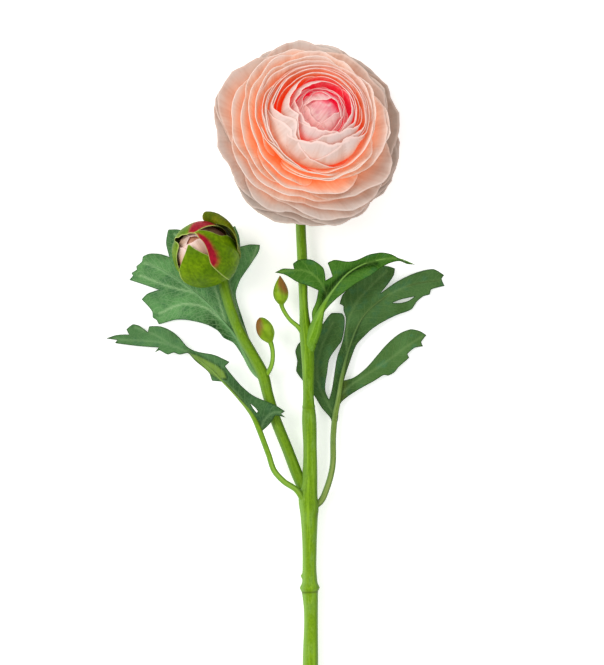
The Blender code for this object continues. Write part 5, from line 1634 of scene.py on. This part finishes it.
# %% Leaf that clasps the stem
STEM_LEAF = [
    (2.8, 68.5), (1.7, 73.5), (1.3, 79.1), (3.0, 83.5), (3.9, 88.3), (-0.6, 90.4),
    (-4.6, 91.7), (-10.4, 95.1), (-14.7, 96.0), (-11.3, 97.7), (-6.4, 97.5),
    (-6.9, 99.8), (-4.6, 101.4), (0.8, 101.6), (3.9, 100.0), (6.2, 97.8), (7.1, 92.6),
    (10.0, 94.4), (8.0, 100.2), (10.7, 101.4), (17.0, 100.7), (20.6, 101.4),
    (25.5, 103.6), (31.4, 104.6), (35.4, 103.8), (39.5, 101.6), (45.5, 99.5),
    (42.2, 99.7), (38.9, 100.9), (34.5, 100.0), (30.9, 98.0), (26.9, 95.0),
    (20.1, 91.2), (14.7, 87.2), (11.2, 84.3), (6.7, 79.3), (5.5, 76.6), (5.8, 73.5),
]
STEM_LEAF_HEIGHTS = [
    (3.6, 70.0, 10.6), (3.8, 76.0, 11.2), (8.0, 85.0, 12.6), (3.5, 92.0, 13.8),
    (-3.0, 97.0, 13.4), (-14.0, 96.0, 12.8), (-5.0, 101.5, 13.4), (5.0, 99.0, 14.6),
    (12.0, 90.5, 12.8), (16.5, 95.5, 13.2), (22.0, 98.6, 13.8), (30.5, 101.5, 14.6),
    (15.5, 88.0, 15.0), (20.5, 91.6, 15.8), (27.0, 95.4, 16.4), (10.0, 100.5, 16.0),
    (17.0, 100.4, 16.6), (25.5, 103.3, 16.8), (34.0, 103.8, 16.2), (45.5, 99.5, 13.6),
]
STEM_LEAF_RIBS = [
    [(3.4, 70.0), (4.6, 77.0), (8.0, 85.0), (12.0, 90.5), (16.5, 95.5), (22.0, 99.0), (30.5, 101.5),
     (38.5, 102.0), (45.0, 99.6)],
    [(8.0, 85.0), (5.5, 91.0), (-0.5, 96.5), (-7.0, 97.0), (-14.0, 96.0)],
]
STEM_LEAF_STALK = [
    (-0.5, 60.0, 8.0, 2.1), (0.7, 66.0, 9.1, 2.7), (2.4, 71.0, 10.1, 2.85), (3.9, 76.0, 11.0, 2.2),
    (5.6, 80.5, 11.8, 1.35), (7.8, 84.6, 12.4, 0.75),
]
# crease lines, each with its depth and width in mm
STEM_LEAF_CREASES = [
    ([(6.9, 86.0), (12.0, 92.3), (18.5, 96.8), (25.0, 99.2), (29.0, 99.6)], 1.3, 0.9),
    ([(4.5, 79.0), (6.0, 84.0), (7.6, 89.5)], 0.9, 0.8),
]


def stem_map(flat, curves):
    """Light green sheath at the foot, and painted shade, a deep green, along the folds."""
    sheath = 1 - smooth_step((to_lines(flat, curves[:1])[1] - 5.0) / 11.0)
    folds = [bump_at(to_lines(flat, [rib_curve(line)])[0], 0.0, 1.3) for line, _, _ in STEM_LEAF_CREASES]
    return {"under": 0.9 * sheath, "tone": np.clip(np.max(folds, axis=0), 0, 1) * (1 - sheath)}


GRASS_GREEN = leaf_material("leaf_matt_grass_green", "386818", "447424", "34683A", "7CA44C", 0.34,
                            spacing=3.8, rim="2A4A14", under="6C9C2C")
SHEATH_SKIN = stem_material("leaf_sheath_green", "78A81C", "6E9E18", "86B43C", "74A048", "4A7408",
                            shade_colour="7CA850")
grow_leaf("stem_leaf", "leaf_green", STEM_LEAF, STEM_LEAF_HEIGHTS, STEM_LEAF_RIBS, STEM_LEAF_STALK,
          GRASS_GREEN, SHEATH_SKIN, spacing=3.8, channel=0.4, paint_map=stem_map, creases=STEM_LEAF_CREASES)

# %% [markdown]
# ## Table
# The spray lies on a plain white table, and its shadows there are faint. The table could
# be a light box with a lamp under it. A card that glows a little looks the same and
# takes no extra lamp.

# %% Table
TABLE_SIZE = 6.0      # metres
TABLE_GLOW = 0.38

bpy.ops.mesh.primitive_plane_add(size=TABLE_SIZE, location=(0.0, 0.0, 0.0))
table = bpy.context.object
table.name = "table_top"
# dull white card: no highlight, only its shadows show
WHITE = paint("FFFFFF")
card, _, _ = new_material("matt_white_card", Base_Color=WHITE, Roughness=0.9, Specular_IOR_Level=0.1,
                          Emission_Color=WHITE, Emission_Strength=TABLE_GLOW)
table.data.materials.append(card)
print("table:", TABLE_SIZE, "m wide")

# %% [markdown]
# ## Light
# The real spray has soft light from all round, a little stronger from the upper left.
# So the world is a pale room, and two big square lamps stand for a window and its fill.

# %% Lights
ROOM_LIGHT = 0.72

world = bpy.data.worlds.new("soft_room")
bpy.context.scene.world = world
world.use_nodes = True
wire(world.node_tree.nodes["Background"], {"Color": WHITE, "Strength": ROOM_LIGHT})


def soft_light(name, place, size, power, colour):
    """Square area light at a place in metres, turned to the middle of the spray."""
    light = bpy.data.lights.new(name, "AREA")
    light.shape = "SQUARE"
    light.size = size
    light.energy = power
    light.color = paint(colour)[:3]
    lamp = bpy.data.objects.new(name, light)
    lamp.location = place
    lamp.rotation_mode = "QUATERNION"
    lamp.rotation_quaternion = (-Vector(place)).to_track_quat("-Z", "Y")
    bpy.context.scene.collection.objects.link(lamp)


soft_light("window_left", (-1.5, 0.6, 1.9), 1.2, 26.0, "FFFDF8")
soft_light("fill_right", (1.6, -0.4, 2.0), 1.6, 6.0, "FFFFFF")
print("lamps:", len(bpy.data.lights))

# %% [markdown]
# ## Camera
# From two metres away a long lens shows the spray almost without perspective, as flat
# as it lies. The lens follows from the height of what it has to show.

# %% Camera
VIEW_CENTRE = (-3.03, 70.27)         # plan point under the camera
VIEW_HEIGHT = 287.55                 # mm of the plan from top to bottom of the frame
CAMERA_HEIGHT = 2000.0
SENSOR = 36.0

camera_data = bpy.data.cameras.new("camera_above")
camera_data.sensor_fit = "VERTICAL"
camera_data.sensor_height = SENSOR
camera_data.lens = SENSOR * CAMERA_HEIGHT / VIEW_HEIGHT
camera_data.clip_start = 0.05
camera = bpy.data.objects.new("camera_above", camera_data)
camera.location = ((VIEW_CENTRE[0] + SHIFT[0]) * MM, (VIEW_CENTRE[1] + SHIFT[1]) * MM, CAMERA_HEIGHT * MM)
bpy.context.scene.collection.objects.link(camera)
bpy.context.scene.camera = camera
bpy.context.scene.view_settings.view_transform = "Standard"
print("camera at", [round(c, 3) for c in camera.location], "lens", round(camera_data.lens, 1), "mm")
